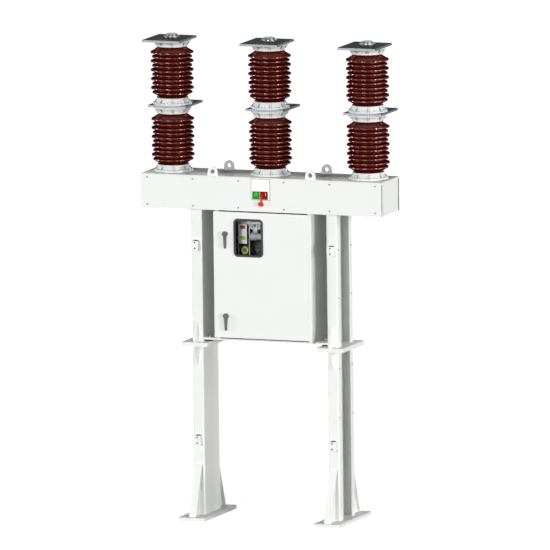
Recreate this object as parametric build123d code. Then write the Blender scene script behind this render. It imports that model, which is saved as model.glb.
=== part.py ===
from build123d import *
import os

# Three-pole outdoor gas insulated breaker on a two-legged steel stand.
# Each pole is two porcelain insulators between ribbed cast flanges, with a terminal plate on each.
# The poles stand on a long housing, and the operating mechanism hangs in a cabinet between the legs.
# Lengths are millimetres: X runs along the row of poles, the door faces -Y and Z is up.
# The origin lies on the ground, under the middle pole.

# Arrangement
POLE_SPACING = 760.0
POLE_NAMES = ("left", "centre", "right")
SIDES = {"left": -1, "right": 1}
CUT_OVERRUN = 4.0

# Base plates with their anchor holes
LEG_CENTRE_X = 526.0
BASE_PLATE_SIDE_MARGIN = 58.0
BASE_PLATE_END_MARGIN = 29.0
BASE_PLATE_THICK = 25.0
BASE_PLATE_CORNER = 12.0
ANCHOR_SIDE_EDGE = 30.0
ANCHOR_END_EDGE = 40.0
ANCHOR_HOLE_DIA = 26.0

# Legs: folded channels with lips, open to the outside
LEG_WIDTH = 84.0
LEG_DEPTH = 312.0
LEG_WALL = 6.0
LEG_LIP = 65.0
LEG_BEND_RADIUS = 11.0
LOWER_LEG_LENGTH = 1247.0
UPPER_LEG_LENGTH = 968.0

# Gussets with a sloping flange, at the foot of each leg
FOOT_GUSSET_HEIGHT = 370.0
FOOT_GUSSET_REACH = 150.0
FOOT_GUSSET_FLANGE_WIDTH = 52.0
FOOT_GUSSET_FLANGE_THICK = 12.0
FOOT_GUSSET_WEB_THICK = 12.0

# Splice plates and their triangular gussets, halfway up each leg
SPLICE_PLATE_SIDE_MARGIN = 58.0
SPLICE_PLATE_END_MARGIN = 3.0
SPLICE_PLATE_THICK = 15.0
SPLICE_PLATE_CORNER = 8.0
SPLICE_GUSSET_HEIGHT = 143.0
SPLICE_GUSSET_REACH = 66.0
SPLICE_GUSSET_NOSE = 10.0
SPLICE_GUSSET_THICK = 10.0

# Head plates that bolt the legs to the housing
HEAD_PLATE_SIDE_MARGIN = 28.0
HEAD_PLATE_END_MARGIN = 2.0
HEAD_PLATE_THICK = 10.0

# Earthing pads: folded brackets on the front flanges of the legs, open above and below
EARTH_PAD_WIDTH = 54.0
EARTH_PAD_HEIGHT = 68.0
EARTH_PAD_DEPTH = 40.0
EARTH_PAD_SHEET = 6.0
EARTH_PAD_BEND = 8.0
EARTH_HOLE_SPACING = 42.0
EARTH_HOLE_DIA = 13.0
UPPER_EARTH_PAD_RISE = 708.0
LOWER_EARTH_PAD_RISE = 552.0

# Flat rails from leg to leg, under the cabinet, and the rubber packings they rest on
RAIL_WIDTH = 100.0
RAIL_THICK = 14.0
RAIL_LIFT = 13.0
RAIL_INSET = 15.0
PACKING_EDGE = 6.0
PACKING_CORNER = 5.0

# Housing under the poles
HOUSING_END_OVERHANG = 175.0
HOUSING_HEIGHT = 250.0
HOUSING_FRONT = 205.0
HOUSING_REAR = 160.0
HOUSING_TOP_THICK = 15.0
HOUSING_BOTTOM_THICK = 8.0
HOUSING_END_THICK = 8.0
COVER_THICK = 3.0
FRONT_COVER_RETURN = 36.0
REAR_COVER_RETURN = 18.0
END_GROOVE = 5.0

# Lifting eyes, midway between the poles
EYE_HOLE_DIA = 33.0
EYE_HOLE_HEIGHT = 30.0
EYE_TOP_RADIUS = 37.0
EYE_BASE_WIDTH = 82.0
EYE_THICK = 12.0
EYE_EDGE_DISTANCE = 17.0

# Ribbed cast flanges
FLANGE_HEIGHT = 50.0
FLANGE_JOINT_WIDTH = 11.0
FLANGE_SOCKET_DEPTH = 12.0
FLANGE_RIM_WALL = 10.0
FLANGE_FLARE = 24.0
FLANGE_RING_THICK = 14.0
FLANGE_RING_CHAMFER = 2.5
FLANGE_CONE_STEP = 16.0
FLANGE_BEAD_HEIGHT = 12.0
FLANGE_BEAD_REACH = 4.0
FLANGE_BEAD_ROUND = 3.0
FLANGE_RIB_COUNT = 8
FLANGE_RIB_THICK = 9.0
FLANGE_RIB_EDGE = 3.0

# Porcelain insulators: large and small sheds take turns up the core
INSULATOR_LENGTH = 374.0
INSULATOR_NECK_DIA = 194.0
INSULATOR_NECK_SHOW = 3.0
INSULATOR_CORE_STEP = 10.0
SHED_PAIRS = 5
FIRST_SHED_RISE = 36.0
LAST_SHED_DROP = 43.25
LARGE_SHED_REACH = 50.0
SMALL_SHED_REACH = 40.0
SHED_TIP_THICK = 14.0
SHED_RISE_SHARE = 0.36
SHED_DROP_SHARE = 0.44
SHED_VALLEY_SHARE = 0.14

# Terminal plates, with a flanged round cap on the top ones
TERMINAL_WIDTH = 292.0
TERMINAL_LENGTH = 360.0
TERMINAL_THICK = 16.0
TERMINAL_CORNER = 6.0
TERMINAL_OVERHANG = 53.0
TERMINAL_HOLE_SPACING = 50.0
TERMINAL_HOLE_DIA = 14.0
TERMINAL_HOLE_EDGE = 46.0
CAP_FLANGE_DIA = 118.0
CAP_FLANGE_THICK = 6.0
CAP_DIA = 80.0
CAP_HEIGHT = 24.0
CAP_CHAMFER = 2.0

# Sheet steel cabinet
CABINET_WIDTH = 750.0
CABINET_FRONT_REACH = 9.0
CABINET_REAR_SETBACK = 6.0
CABINET_SHEET = 3.0
CABINET_LIP = 25.0

# Door: a folded pan
DOOR_OVERLAP = 3.0
DOOR_REAR_GAP = 9.0
DOOR_THICK = 22.0
DOOR_SHEET = 2.5
DOOR_CORNER = 5.0
DOOR_EDGE_RADIUS = 2.0
DOOR_TOP_GAP = 11.0
DOOR_BOTTOM_GAP = 14.0

# Door hinge: a pin above and a pin below, each on a bracket
HINGE_INSET = 10.0
HINGE_PIN_DIA = 8.0
HINGE_PIN_REACH = 12.0
HINGE_BRACKET_WIDTH = 28.0
HINGE_BRACKET_THICK = 5.0
HINGE_DOOR_GAP = 5.0
PIN_CLEARANCE = 0.25

# Door window: glass held in a rubber gasket
WINDOW_WIDTH = 229.0
WINDOW_HEIGHT = 281.0
WINDOW_CORNER = 32.0
WINDOW_FROM_EDGE = 158.0
WINDOW_FROM_TOP = 46.0
GASKET_BAND = 15.0
GASKET_SHEET_GRIP = 8.0
GASKET_GLASS_GRIP = 4.0
GASKET_LIP_THICK = 4.0
GLASS_THICK = 4.0
GASKET_CLEARANCE = 0.2

# Door handles
HANDLE_FROM_EDGE = 92.0
HANDLE_FROM_END = 161.0
HANDLE_HEAD_DIA = 37.0
HANDLE_HEAD_THICK = 15.0
HANDLE_LENGTH = 100.0
HANDLE_ROOT_WIDTH = 24.0
HANDLE_TIP_WIDTH = 15.0
HANDLE_LEVER_THICK = 11.0
HANDLE_EDGE_RADIUS = 3.0
HANDLE_STANDOFF = 8.0
HANDLE_SHAFT_DIA = 16.0
ROSETTE_DIA = 44.0
ROSETTE_THICK = 2.5
LATCH_LENGTH = 50.0
LATCH_WIDTH = 20.0
LATCH_THICK = 4.0
LATCH_DEPTH = 8.0

# Position indicator on the front cover
INDICATOR_WIDTH = 141.0
INDICATOR_HEIGHT = 149.0
INDICATOR_THICK = 3.0
INDICATOR_CORNER = 5.0
INDICATOR_OFFSET_X = -3.5
INDICATOR_FROM_TOP = 12.0
POINTER_OFFSET_X = 2.0
POINTER_DROP = 30.0
POINTER_LEAN = 8.0
POINTER_LENGTH = 72.0
POINTER_BOSS_DIA = 36.0
POINTER_BOSS_THICK = 12.0
POINTER_ROOT_WIDTH = 16.0
POINTER_TIP_WIDTH = 5.0
POINTER_BLADE_THICK = 4.0
POINTER_STANDOFF = 9.0
POINTER_SHAFT_DIA = 12.0
POINTER_COLLAR_DIA = 22.0
POINTER_COLLAR_THICK = 5.0
POINTER_COLLAR_GAP = 5.0

# Operating mechanism in the upper left of the cabinet
FRAME_FROM_WALL = 152.0
FRAME_LEFT_BAY = 86.0
FRAME_RIGHT_BAY = 177.0
FRAME_PLATE_THICK = 5.0
FRAME_FRONT = 96.0
FRAME_TOP_DROP = 37.0
FRAME_HEIGHT = 340.0
FRAME_BACK_PLATE_Y = 10.0
FRAME_TIE_HEIGHT = 30.0
FRAME_TIE_DROP = 40.0
FRAME_TIE_SETBACK = 6.0
LABEL_PANEL_WIDTH = 66.0
LABEL_PANEL_HEIGHT = 172.0
LABEL_PANEL_THICK = 2.0
LABEL_PANEL_RETURN = 40.0
LABEL_PANEL_RISE = 125.0
CAM_DIA = 64.0
CAM_THICK = 10.0
CAM_RIM = 9.0
CAM_DISH = 4.0
CAM_HUB_DIA = 26.0
CAM_HUB_THICK = 18.0
CAM_SHAFT_DIA = 16.0
CAM_SIDE_GAP = 3.5
CAM_RISE = 77.0
CAM_FRONT = 92.0
SPRING_DIA = 52.0
SPRING_EYE_DIA = 30.0
SPRING_THICK = 24.0
SPRING_HUB_DIA = 14.0
SPRING_FROM_MIDDLE = 66.0
SPRING_RISE = 100.0
SPRING_FRONT = 88.0
MOTOR_DIA = 58.0
MOTOR_LENGTH = 46.0
GEARBOX_DIA = 48.0
GEARBOX_LENGTH = 42.0
MOTOR_Y = -62.0
MOTOR_RISE = 176.0
LINK_PLATE_WIDTH = 82.0
LINK_PLATE_END_GAP = 3.0
LINK_PLATE_THICK = 5.0
LINK_PLATE_SLOT = 12.0
LINK_PLATE_STEM = 34.0
LINK_PLATE_BAR_SHARE = 0.56
LINK_PLATE_HOLE_DIA = 10.0
LINK_PLATE_RETURN = 30.0
LINK_PLATE_SETBACK = 4.0

# Sizes that follow from the piece beside them
BASE_PLATE_WIDTH = LEG_WIDTH + 2 * BASE_PLATE_SIDE_MARGIN
BASE_PLATE_DEPTH = LEG_DEPTH + 2 * FOOT_GUSSET_REACH + 2 * BASE_PLATE_END_MARGIN
ANCHOR_SPACING_X = BASE_PLATE_WIDTH - 2 * ANCHOR_SIDE_EDGE
ANCHOR_SPACING_Y = BASE_PLATE_DEPTH - 2 * ANCHOR_END_EDGE
SPLICE_PLATE_WIDTH = LEG_WIDTH + 2 * SPLICE_PLATE_SIDE_MARGIN
SPLICE_PLATE_DEPTH = LEG_DEPTH + 2 * SPLICE_GUSSET_REACH + 2 * SPLICE_PLATE_END_MARGIN
HEAD_PLATE_WIDTH = LEG_WIDTH + 2 * HEAD_PLATE_SIDE_MARGIN
HEAD_PLATE_DEPTH = LEG_DEPTH + 2 * HEAD_PLATE_END_MARGIN
HOUSING_LENGTH = 2 * POLE_SPACING + 2 * HOUSING_END_OVERHANG
FLANGE_SOCKET_DIA = INSULATOR_NECK_DIA + 2 * FLANGE_JOINT_WIDTH
FLANGE_RIM_DIA = FLANGE_SOCKET_DIA + 2 * FLANGE_RIM_WALL
FLANGE_DIA = FLANGE_RIM_DIA + 2 * FLANGE_FLARE
INSULATOR_CORE_DIA = INSULATOR_NECK_DIA + 2 * INSULATOR_CORE_STEP
SHED_SPACING = (INSULATOR_LENGTH - FIRST_SHED_RISE - LAST_SHED_DROP) / (2 * SHED_PAIRS - 1)
CABINET_FRONT = LEG_DEPTH / 2 + CABINET_FRONT_REACH
CABINET_REAR = LEG_DEPTH / 2 - CABINET_REAR_SETBACK
DOOR_WIDTH = CABINET_WIDTH + 2 * DOOR_OVERLAP
DOOR_FRONT = CABINET_FRONT + DOOR_REAR_GAP + DOOR_THICK

# Levels, from the ground up
LOWER_LEG_Z = BASE_PLATE_THICK
SPLICE_Z = LOWER_LEG_Z + LOWER_LEG_LENGTH
UPPER_LEG_Z = SPLICE_Z + 2 * SPLICE_PLATE_THICK
LOWER_PAD_Z = LOWER_LEG_Z + LOWER_EARTH_PAD_RISE
UPPER_PAD_Z = UPPER_LEG_Z + UPPER_EARTH_PAD_RISE
HEAD_PLATE_Z = UPPER_LEG_Z + UPPER_LEG_LENGTH
HOUSING_Z = HEAD_PLATE_Z + HEAD_PLATE_THICK
HOUSING_TOP_Z = HOUSING_Z + HOUSING_HEIGHT
STAGE_HEIGHT = INSULATOR_LENGTH + 2 * FLANGE_HEIGHT + TERMINAL_THICK
RAIL_Z = UPPER_LEG_Z + RAIL_LIFT
CABINET_Z = RAIL_Z + RAIL_THICK
DOOR_Z = CABINET_Z + DOOR_BOTTOM_GAP
DOOR_TOP_Z = HOUSING_Z - DOOR_TOP_GAP
DOOR_HEIGHT = DOOR_TOP_Z - DOOR_Z

# Places that several pieces share
LEG_WEB_X = LEG_CENTRE_X - LEG_WIDTH / 2
COVER_FRONT_Y = -HOUSING_FRONT
INDICATOR_X = INDICATOR_OFFSET_X
INDICATOR_Z = HOUSING_TOP_Z - INDICATOR_FROM_TOP - INDICATOR_HEIGHT / 2
POINTER_X = POINTER_OFFSET_X
POINTER_Z = INDICATOR_Z - INDICATOR_HEIGHT / 2 - POINTER_DROP
HINGE_X = DOOR_WIDTH / 2 - HINGE_INSET
HINGE_Y = -DOOR_FRONT + HINGE_INSET
HANDLE_X = -DOOR_WIDTH / 2 + HANDLE_FROM_EDGE
HANDLE_LEVELS = {"upper": DOOR_TOP_Z - HANDLE_FROM_END, "lower": DOOR_Z + HANDLE_FROM_END}
WINDOW_X = -DOOR_WIDTH / 2 + WINDOW_FROM_EDGE + WINDOW_WIDTH / 2
WINDOW_Z = DOOR_TOP_Z - WINDOW_FROM_TOP - WINDOW_HEIGHT / 2
FRAME_LEFT_X = -CABINET_WIDTH / 2 + FRAME_FROM_WALL
FRAME_MIDDLE_X = FRAME_LEFT_X + FRAME_LEFT_BAY
FRAME_RIGHT_X = FRAME_MIDDLE_X + FRAME_RIGHT_BAY
FRAME_Z = HOUSING_Z - CABINET_SHEET - FRAME_TOP_DROP - FRAME_HEIGHT
FRAME_TIE_Z = FRAME_Z + FRAME_HEIGHT - FRAME_TIE_DROP - FRAME_TIE_HEIGHT
MOTOR_Z = FRAME_Z + MOTOR_RISE


def block(x, y, z, width, depth, height):
    """A block centred on x and y, standing on z."""
    return Pos(x, y, z) * Box(width, depth, height, align=(Align.CENTER, Align.CENTER, Align.MIN))


def span(x0, x1, y0, y1, z0, z1):
    """A block between two limits along each axis."""
    return block((x0 + x1) / 2, (y0 + y1) / 2, z0, abs(x1 - x0), abs(y1 - y0), z1 - z0)


def rounded_plate(x, y, z, width, depth, height, corner):
    """A flat plate with round corners, standing on z."""
    return Pos(x, y, z) * extrude(RectangleRounded(width, depth, corner), height)


def upright(shape, x, y, z, depth):
    """A flat outline, drawn with X across and Y up, that runs back from y by depth."""
    return Pos(x, y, z) * extrude(Plane.XZ * shape, -depth)


def rod_y(x, y, z, dia, depth):
    """A round rod along Y that runs back from y."""
    return upright(Circle(dia / 2), x, y, z, depth)


def rod_x(x, y, z, dia, length):
    """A round rod along X that runs right from x."""
    return Pos(x, y, z) * extrude(Plane.YZ * Circle(dia / 2), length)


def side_plate(points, thick):
    """A plate of the given outline in Y and Z, centred on X."""
    return extrude(Plane.YZ * make_face(Polyline(*points, close=True)), thick / 2, both=True)


# Stand
def base_plate(side):
    """A thick foot plate with four anchor holes."""
    centre = Pos(side * LEG_CENTRE_X, 0, 0)
    outline = RectangleRounded(BASE_PLATE_WIDTH, BASE_PLATE_DEPTH, BASE_PLATE_CORNER)
    anchors = GridLocations(ANCHOR_SPACING_X, ANCHOR_SPACING_Y, 2, 2) * Circle(ANCHOR_HOLE_DIA / 2)
    return centre * extrude(outline - anchors, BASE_PLATE_THICK)


def leg(side, z, length):
    """A folded channel with its web inside and its lips outside."""
    outer = RectangleRounded(LEG_WIDTH, LEG_DEPTH, LEG_BEND_RADIUS)
    inner_radius = LEG_BEND_RADIUS - LEG_WALL
    inner = RectangleRounded(LEG_WIDTH - 2 * LEG_WALL, LEG_DEPTH - 2 * LEG_WALL, inner_radius)
    mouth = Pos(side * LEG_WIDTH / 2, 0) * Rectangle(2 * LEG_BEND_RADIUS, LEG_DEPTH - 2 * LEG_LIP)
    return Pos(side * LEG_CENTRE_X, 0, z) * extrude(outer - inner - mouth, length)


def foot_gusset(side, face):
    """A gusset of T section whose flange slopes from the foot plate up to the leg."""
    leg_face = LEG_DEPTH / 2
    foot = leg_face + FOOT_GUSSET_REACH
    flange_top = leg_face + FOOT_GUSSET_FLANGE_THICK
    flange_foot = foot - FOOT_GUSSET_FLANGE_THICK
    height = FOOT_GUSSET_HEIGHT
    flange = side_plate(
        [(flange_foot, 0), (foot, 0), (flange_top, height), (leg_face, height)], FOOT_GUSSET_FLANGE_WIDTH
    )
    web = side_plate([(leg_face, 0), (flange_foot, 0), (leg_face, height)], FOOT_GUSSET_WEB_THICK)
    turn = 90 - 90 * face
    return Pos(side * LEG_CENTRE_X, 0, BASE_PLATE_THICK) * Rot(0, 0, turn) * (flange + web)


def splice_gusset(side, face, upward):
    """A triangular plate with a blunt nose, between a leg and its splice plate."""
    leg_face = LEG_DEPTH / 2
    nose = leg_face + SPLICE_GUSSET_REACH
    outline = [
        (leg_face, 0),
        (nose, 0),
        (nose, upward * SPLICE_GUSSET_NOSE),
        (leg_face + SPLICE_GUSSET_NOSE, upward * SPLICE_GUSSET_HEIGHT),
        (leg_face, upward * SPLICE_GUSSET_HEIGHT),
    ]
    z = UPPER_LEG_Z if upward > 0 else SPLICE_Z
    turn = 90 - 90 * face
    return Pos(side * LEG_CENTRE_X, 0, z) * Rot(0, 0, turn) * side_plate(outline, SPLICE_GUSSET_THICK)


def earth_pad(side, z):
    """A bracket folded from strip, with two holes in a column, on the front flange of a leg."""
    x = side * LEG_CENTRE_X
    leg_face = -LEG_DEPTH / 2
    front = leg_face - EARTH_PAD_DEPTH
    inner_width = EARTH_PAD_WIDTH - 2 * EARTH_PAD_SHEET
    outer = RectangleRounded(EARTH_PAD_WIDTH, 2 * EARTH_PAD_DEPTH, EARTH_PAD_BEND)
    inner = RectangleRounded(
        inner_width, 2 * EARTH_PAD_DEPTH - 2 * EARTH_PAD_SHEET, EARTH_PAD_BEND - EARTH_PAD_SHEET
    )
    buried = Pos(0, EARTH_PAD_DEPTH) * Rectangle(2 * EARTH_PAD_WIDTH, 2 * EARTH_PAD_DEPTH)
    strip = Pos(x, leg_face, z - EARTH_PAD_HEIGHT / 2) * extrude(outer - inner - buried, EARTH_PAD_HEIGHT)
    holes = GridLocations(0, EARTH_HOLE_SPACING, 1, 2) * Circle(EARTH_HOLE_DIA / 2)
    through = EARTH_PAD_SHEET + 2 * CUT_OVERRUN
    return strip - [upright(hole, x, front - CUT_OVERRUN, z, through) for hole in holes]


def rail(face):
    """A flat bar from web to web."""
    outer = face * (LEG_DEPTH / 2 - RAIL_INSET)
    inner = outer - face * RAIL_WIDTH
    return span(-LEG_WEB_X, LEG_WEB_X, outer, inner, RAIL_Z, CABINET_Z)


def rail_packing(side, face):
    """A rubber block between a rail and the inner margin of a splice plate."""
    x = side * (LEG_WEB_X - SPLICE_PLATE_SIDE_MARGIN / 2)
    y = face * (LEG_DEPTH / 2 - RAIL_INSET - RAIL_WIDTH / 2)
    width = SPLICE_PLATE_SIDE_MARGIN - 2 * PACKING_EDGE
    depth = RAIL_WIDTH - 2 * PACKING_EDGE
    return rounded_plate(x, y, UPPER_LEG_Z, width, depth, RAIL_LIFT, PACKING_CORNER)


# Housing
def housing_slab(length, z, thick, overlap):
    """A level plate of the housing, which reaches over the covers by overlap."""
    front = -HOUSING_FRONT + COVER_THICK - overlap
    rear = HOUSING_REAR - COVER_THICK + overlap
    return span(-length / 2, length / 2, front, rear, z, z + thick)


def housing_end(side):
    """An upright end plate whose raised field lies flush between the returns of the covers."""
    outer = side * HOUSING_LENGTH / 2
    seat = outer - side * COVER_THICK
    inner = outer - side * HOUSING_END_THICK
    front = -HOUSING_FRONT + COVER_THICK
    rear = HOUSING_REAR - COVER_THICK
    low = HOUSING_Z + HOUSING_BOTTOM_THICK
    high = HOUSING_TOP_Z - HOUSING_TOP_THICK
    field_front = -HOUSING_FRONT + FRONT_COVER_RETURN + END_GROOVE
    field_rear = HOUSING_REAR - REAR_COVER_RETURN - END_GROOVE
    plate = span(inner, seat, front, rear, low, high)
    return plate + span(seat, outer, field_front, field_rear, low, high)


def cover(front, facing, fold):
    """A long sheet that closes the housing below its top plate, folded round its ends."""
    half = HOUSING_LENGTH / 2
    top = HOUSING_TOP_Z - HOUSING_TOP_THICK
    sheet = span(-half, half, front, front + facing * COVER_THICK, HOUSING_Z, top)
    for side in SIDES.values():
        outer = side * half
        inner = outer - side * COVER_THICK
        sheet += span(outer, inner, front, front + facing * fold, HOUSING_Z + HOUSING_BOTTOM_THICK, top)
    return sheet


def front_cover():
    """The front sheet, with a hole for the indicator shaft."""
    hole = rod_y(
        POINTER_X,
        COVER_FRONT_Y - CUT_OVERRUN,
        POINTER_Z,
        POINTER_SHAFT_DIA + 2 * PIN_CLEARANCE,
        COVER_THICK + 2 * CUT_OVERRUN,
    )
    return cover(COVER_FRONT_Y, 1, FRONT_COVER_RETURN) - hole


def lifting_eye(x, y):
    """An upright lug with a round head and a lifting hole."""
    half = EYE_BASE_WIDTH / 2
    head = Pos(0, EYE_HOLE_HEIGHT) * Circle(EYE_TOP_RADIUS)
    sides = [
        (-half, 0),
        (half, 0),
        (EYE_TOP_RADIUS, EYE_HOLE_HEIGHT),
        (-EYE_TOP_RADIUS, EYE_HOLE_HEIGHT),
    ]
    foot = make_face(Polyline(*sides, close=True))
    trim = Pos(0, -EYE_TOP_RADIUS) * Rectangle(2 * EYE_BASE_WIDTH, 2 * EYE_TOP_RADIUS)
    hole = Pos(0, EYE_HOLE_HEIGHT) * Circle(EYE_HOLE_DIA / 2)
    outline = head + foot - trim - hole
    return upright(outline, x, y - EYE_THICK / 2, HOUSING_TOP_Z, EYE_THICK)


# Poles
def flange():
    """A cast flange, wide end down, with a socket in its rim and ribs round its cone."""
    ring = FLANGE_DIA / 2
    cone = ring - FLANGE_CONE_STEP
    rim = FLANGE_RIM_DIA / 2
    socket = FLANGE_SOCKET_DIA / 2
    floor = FLANGE_HEIGHT - FLANGE_SOCKET_DEPTH
    waist = rim - FLANGE_BEAD_REACH
    bead = FLANGE_HEIGHT - FLANGE_BEAD_HEIGHT
    profile = [
        (0, 0),
        (ring, 0),
        (ring, FLANGE_RING_THICK - FLANGE_RING_CHAMFER),
        (ring - FLANGE_RING_CHAMFER, FLANGE_RING_THICK),
        (cone, FLANGE_RING_THICK),
        (waist, bead),
        (rim, bead),
        (rim, FLANGE_HEIGHT - FLANGE_BEAD_ROUND),
        (rim - FLANGE_BEAD_ROUND, FLANGE_HEIGHT),
        (socket, FLANGE_HEIGHT),
        (socket, floor),
        (0, floor),
    ]
    body = revolve(Plane.XZ * make_face(Polyline(*profile, close=True)), Axis.Z)
    root = (waist + socket) / 2
    rib_outline = [
        (root, FLANGE_RING_THICK),
        (ring - FLANGE_RIB_EDGE, FLANGE_RING_THICK),
        (rim, bead),
        (root, bead),
    ]
    rib = extrude(
        Plane.XZ * make_face(Polyline(*rib_outline, close=True)), FLANGE_RIB_THICK / 2, both=True
    )
    step = 360 / FLANGE_RIB_COUNT
    ribs = [Rot(0, 0, (index + 0.5) * step) * rib for index in range(FLANGE_RIB_COUNT)]
    return body + ribs


def insulator():
    """A turned porcelain body whose sheds alternate in size and whose end sheds slope to its necks."""
    neck = INSULATOR_NECK_DIA / 2
    core = INSULATOR_CORE_DIA / 2
    tip = SHED_TIP_THICK / 2
    rise = SHED_RISE_SHARE * SHED_SPACING
    drop = SHED_DROP_SHARE * SHED_SPACING
    valley = SHED_VALLEY_SHARE * SHED_SPACING
    foot = FLANGE_SOCKET_DEPTH + INSULATOR_NECK_SHOW
    top = INSULATOR_LENGTH + 2 * FLANGE_SOCKET_DEPTH
    edges = [Line((0, 0), (neck, 0)), Line((neck, 0), (neck, foot))]
    start = (neck, foot)
    last = 2 * SHED_PAIRS - 1
    for index in range(last + 1):
        reach = (SMALL_SHED_REACH if index % 2 == 0 else LARGE_SHED_REACH) - tip
        level = FLANGE_SOCKET_DEPTH + FIRST_SHED_RISE + index * SHED_SPACING
        low = (core + valley, level - drop + (drop - tip) * valley / reach)
        high = (core + valley, level + rise - (rise - tip) * valley / reach)
        under = (core + reach, level - tip)
        over = (core + reach, level + tip)
        if index == 0:
            edges.append(Line(start, under))
        else:
            edges.append(ThreePointArc(start, (core, (start[1] + low[1]) / 2), low))
            edges.append(Line(low, under))
        edges.append(ThreePointArc(under, (core + reach + tip, level), over))
        if index < last:
            edges.append(Line(over, high))
            start = high
        else:
            edges.append(Line(over, (neck, top - foot)))
    edges.append(Line((neck, top - foot), (neck, top)))
    edges.append(Line((neck, top), (0, top)))
    edges.append(Line((0, top), (0, 0)))
    return revolve(Plane.XZ * make_face(Wire(edges)), Axis.Z)


def terminal(reverse):
    """A terminal plate that overhangs to the front, or to the rear when reversed."""
    outline = Pos(0, -TERMINAL_OVERHANG) * RectangleRounded(TERMINAL_WIDTH, TERMINAL_LENGTH, TERMINAL_CORNER)
    pad_y = -TERMINAL_OVERHANG - TERMINAL_LENGTH / 2 + TERMINAL_HOLE_EDGE
    pattern = GridLocations(TERMINAL_HOLE_SPACING, TERMINAL_HOLE_SPACING, 2, 2)
    holes = [Pos(0, pad_y) * hole for hole in pattern * Circle(TERMINAL_HOLE_DIA / 2)]
    plate = extrude(outline - holes, TERMINAL_THICK)
    return Rot(0, 0, 180 * reverse) * plate


def top_terminal():
    """The top plate with the flanged round cap that closes the pole."""
    upwards = (Align.CENTER, Align.CENTER, Align.MIN)
    cap = Cylinder(CAP_DIA / 2, CAP_HEIGHT, align=upwards)
    cap = chamfer(cap.faces().sort_by(Axis.Z)[-1].edges(), CAP_CHAMFER)
    cap += Cylinder(CAP_FLANGE_DIA / 2, CAP_FLANGE_THICK, align=upwards)
    return terminal(False) + Pos(0, 0, TERMINAL_THICK) * cap


# Cabinet
def cabinet_wall(side):
    """A side sheet with its front edge folded inwards, between the floor and the roof."""
    outer = side * CABINET_WIDTH / 2
    inner = outer - side * CABINET_SHEET
    low = CABINET_Z + CABINET_SHEET
    high = HOUSING_Z - CABINET_SHEET
    sheet = span(outer, inner, -CABINET_FRONT, CABINET_REAR - CABINET_SHEET, low, high)
    lip = span(inner, inner - side * CABINET_LIP, -CABINET_FRONT, CABINET_SHEET - CABINET_FRONT, low, high)
    return sheet + lip


def cabinet_sheet(z):
    """The floor or the roof, over the whole plan of the cabinet."""
    half = CABINET_WIDTH / 2
    return span(-half, half, -CABINET_FRONT, CABINET_REAR, z, z + CABINET_SHEET)


def cabinet_back():
    """The rear sheet between the floor and the roof."""
    half = CABINET_WIDTH / 2
    low = CABINET_Z + CABINET_SHEET
    return span(-half, half, CABINET_REAR - CABINET_SHEET, CABINET_REAR, low, HOUSING_Z - CABINET_SHEET)


def hinge_bracket(door_end, outward):
    """A bracket past one end of the door, with a pin that turns in the door's return."""
    near = door_end + outward * HINGE_DOOR_GAP
    far = near + outward * HINGE_BRACKET_THICK
    half = HINGE_BRACKET_WIDTH / 2
    front = -DOOR_FRONT
    plate = span(HINGE_X - half, HINGE_X + half, front, -CABINET_FRONT, min(near, far), max(near, far))
    tip = door_end - outward * HINGE_PIN_REACH
    pin_low = min(near, tip)
    pin = Pos(HINGE_X, HINGE_Y, pin_low) * Cylinder(
        HINGE_PIN_DIA / 2, abs(near - tip), align=(Align.CENTER, Align.CENTER, Align.MIN)
    )
    return plate + pin


def window_outline(inset):
    """The window's rounded outline, drawn in from the gasket's outer edge by inset."""
    return RectangleRounded(WINDOW_WIDTH - 2 * inset, WINDOW_HEIGHT - 2 * inset, WINDOW_CORNER - inset)


def door():
    """The folded pan, cut for the window, the handle shafts and the hinge pins."""
    middle = DOOR_Z + DOOR_HEIGHT / 2
    pan = upright(RectangleRounded(DOOR_WIDTH, DOOR_HEIGHT, DOOR_CORNER), 0, -DOOR_FRONT, middle, DOOR_THICK)
    pan = fillet(pan.faces().sort_by(Axis.Y)[0].edges(), DOOR_EDGE_RADIUS)
    hollow = RectangleRounded(
        DOOR_WIDTH - 2 * DOOR_SHEET, DOOR_HEIGHT - 2 * DOOR_SHEET, DOOR_CORNER - DOOR_SHEET
    )
    pan -= upright(hollow, 0, DOOR_SHEET - DOOR_FRONT, middle, DOOR_THICK)
    before = -DOOR_FRONT - CUT_OVERRUN
    through = DOOR_SHEET + 2 * CUT_OVERRUN
    pan -= upright(window_outline(GASKET_SHEET_GRIP), WINDOW_X, before, WINDOW_Z, through)
    for level in HANDLE_LEVELS.values():
        pan -= rod_y(HANDLE_X, before, level, HANDLE_SHAFT_DIA + 2 * PIN_CLEARANCE, through)
    pin_hole = Cylinder(HINGE_PIN_DIA / 2 + PIN_CLEARANCE, DOOR_HEIGHT + 2 * CUT_OVERRUN)
    return pan - Pos(HINGE_X, HINGE_Y, middle) * pin_hole


def window_gasket():
    """A rubber frame with an outer groove for the door sheet and an inner one for the glass."""
    front = -DOOR_FRONT - GASKET_LIP_THICK
    depth = DOOR_SHEET + 2 * GASKET_LIP_THICK
    ring = window_outline(0) - window_outline(GASKET_BAND)
    sheet_groove = window_outline(-CUT_OVERRUN) - window_outline(GASKET_SHEET_GRIP + GASKET_CLEARANCE)
    body = upright(ring, WINDOW_X, front, WINDOW_Z, depth)
    body -= upright(sheet_groove, WINDOW_X, -DOOR_FRONT, WINDOW_Z, DOOR_SHEET)
    glass_front = -DOOR_FRONT + DOOR_SHEET / 2 - GLASS_THICK / 2
    glass_groove = window_outline(GASKET_BAND - GASKET_GLASS_GRIP)
    return body - upright(glass_groove, WINDOW_X, glass_front, WINDOW_Z, GLASS_THICK)


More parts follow.
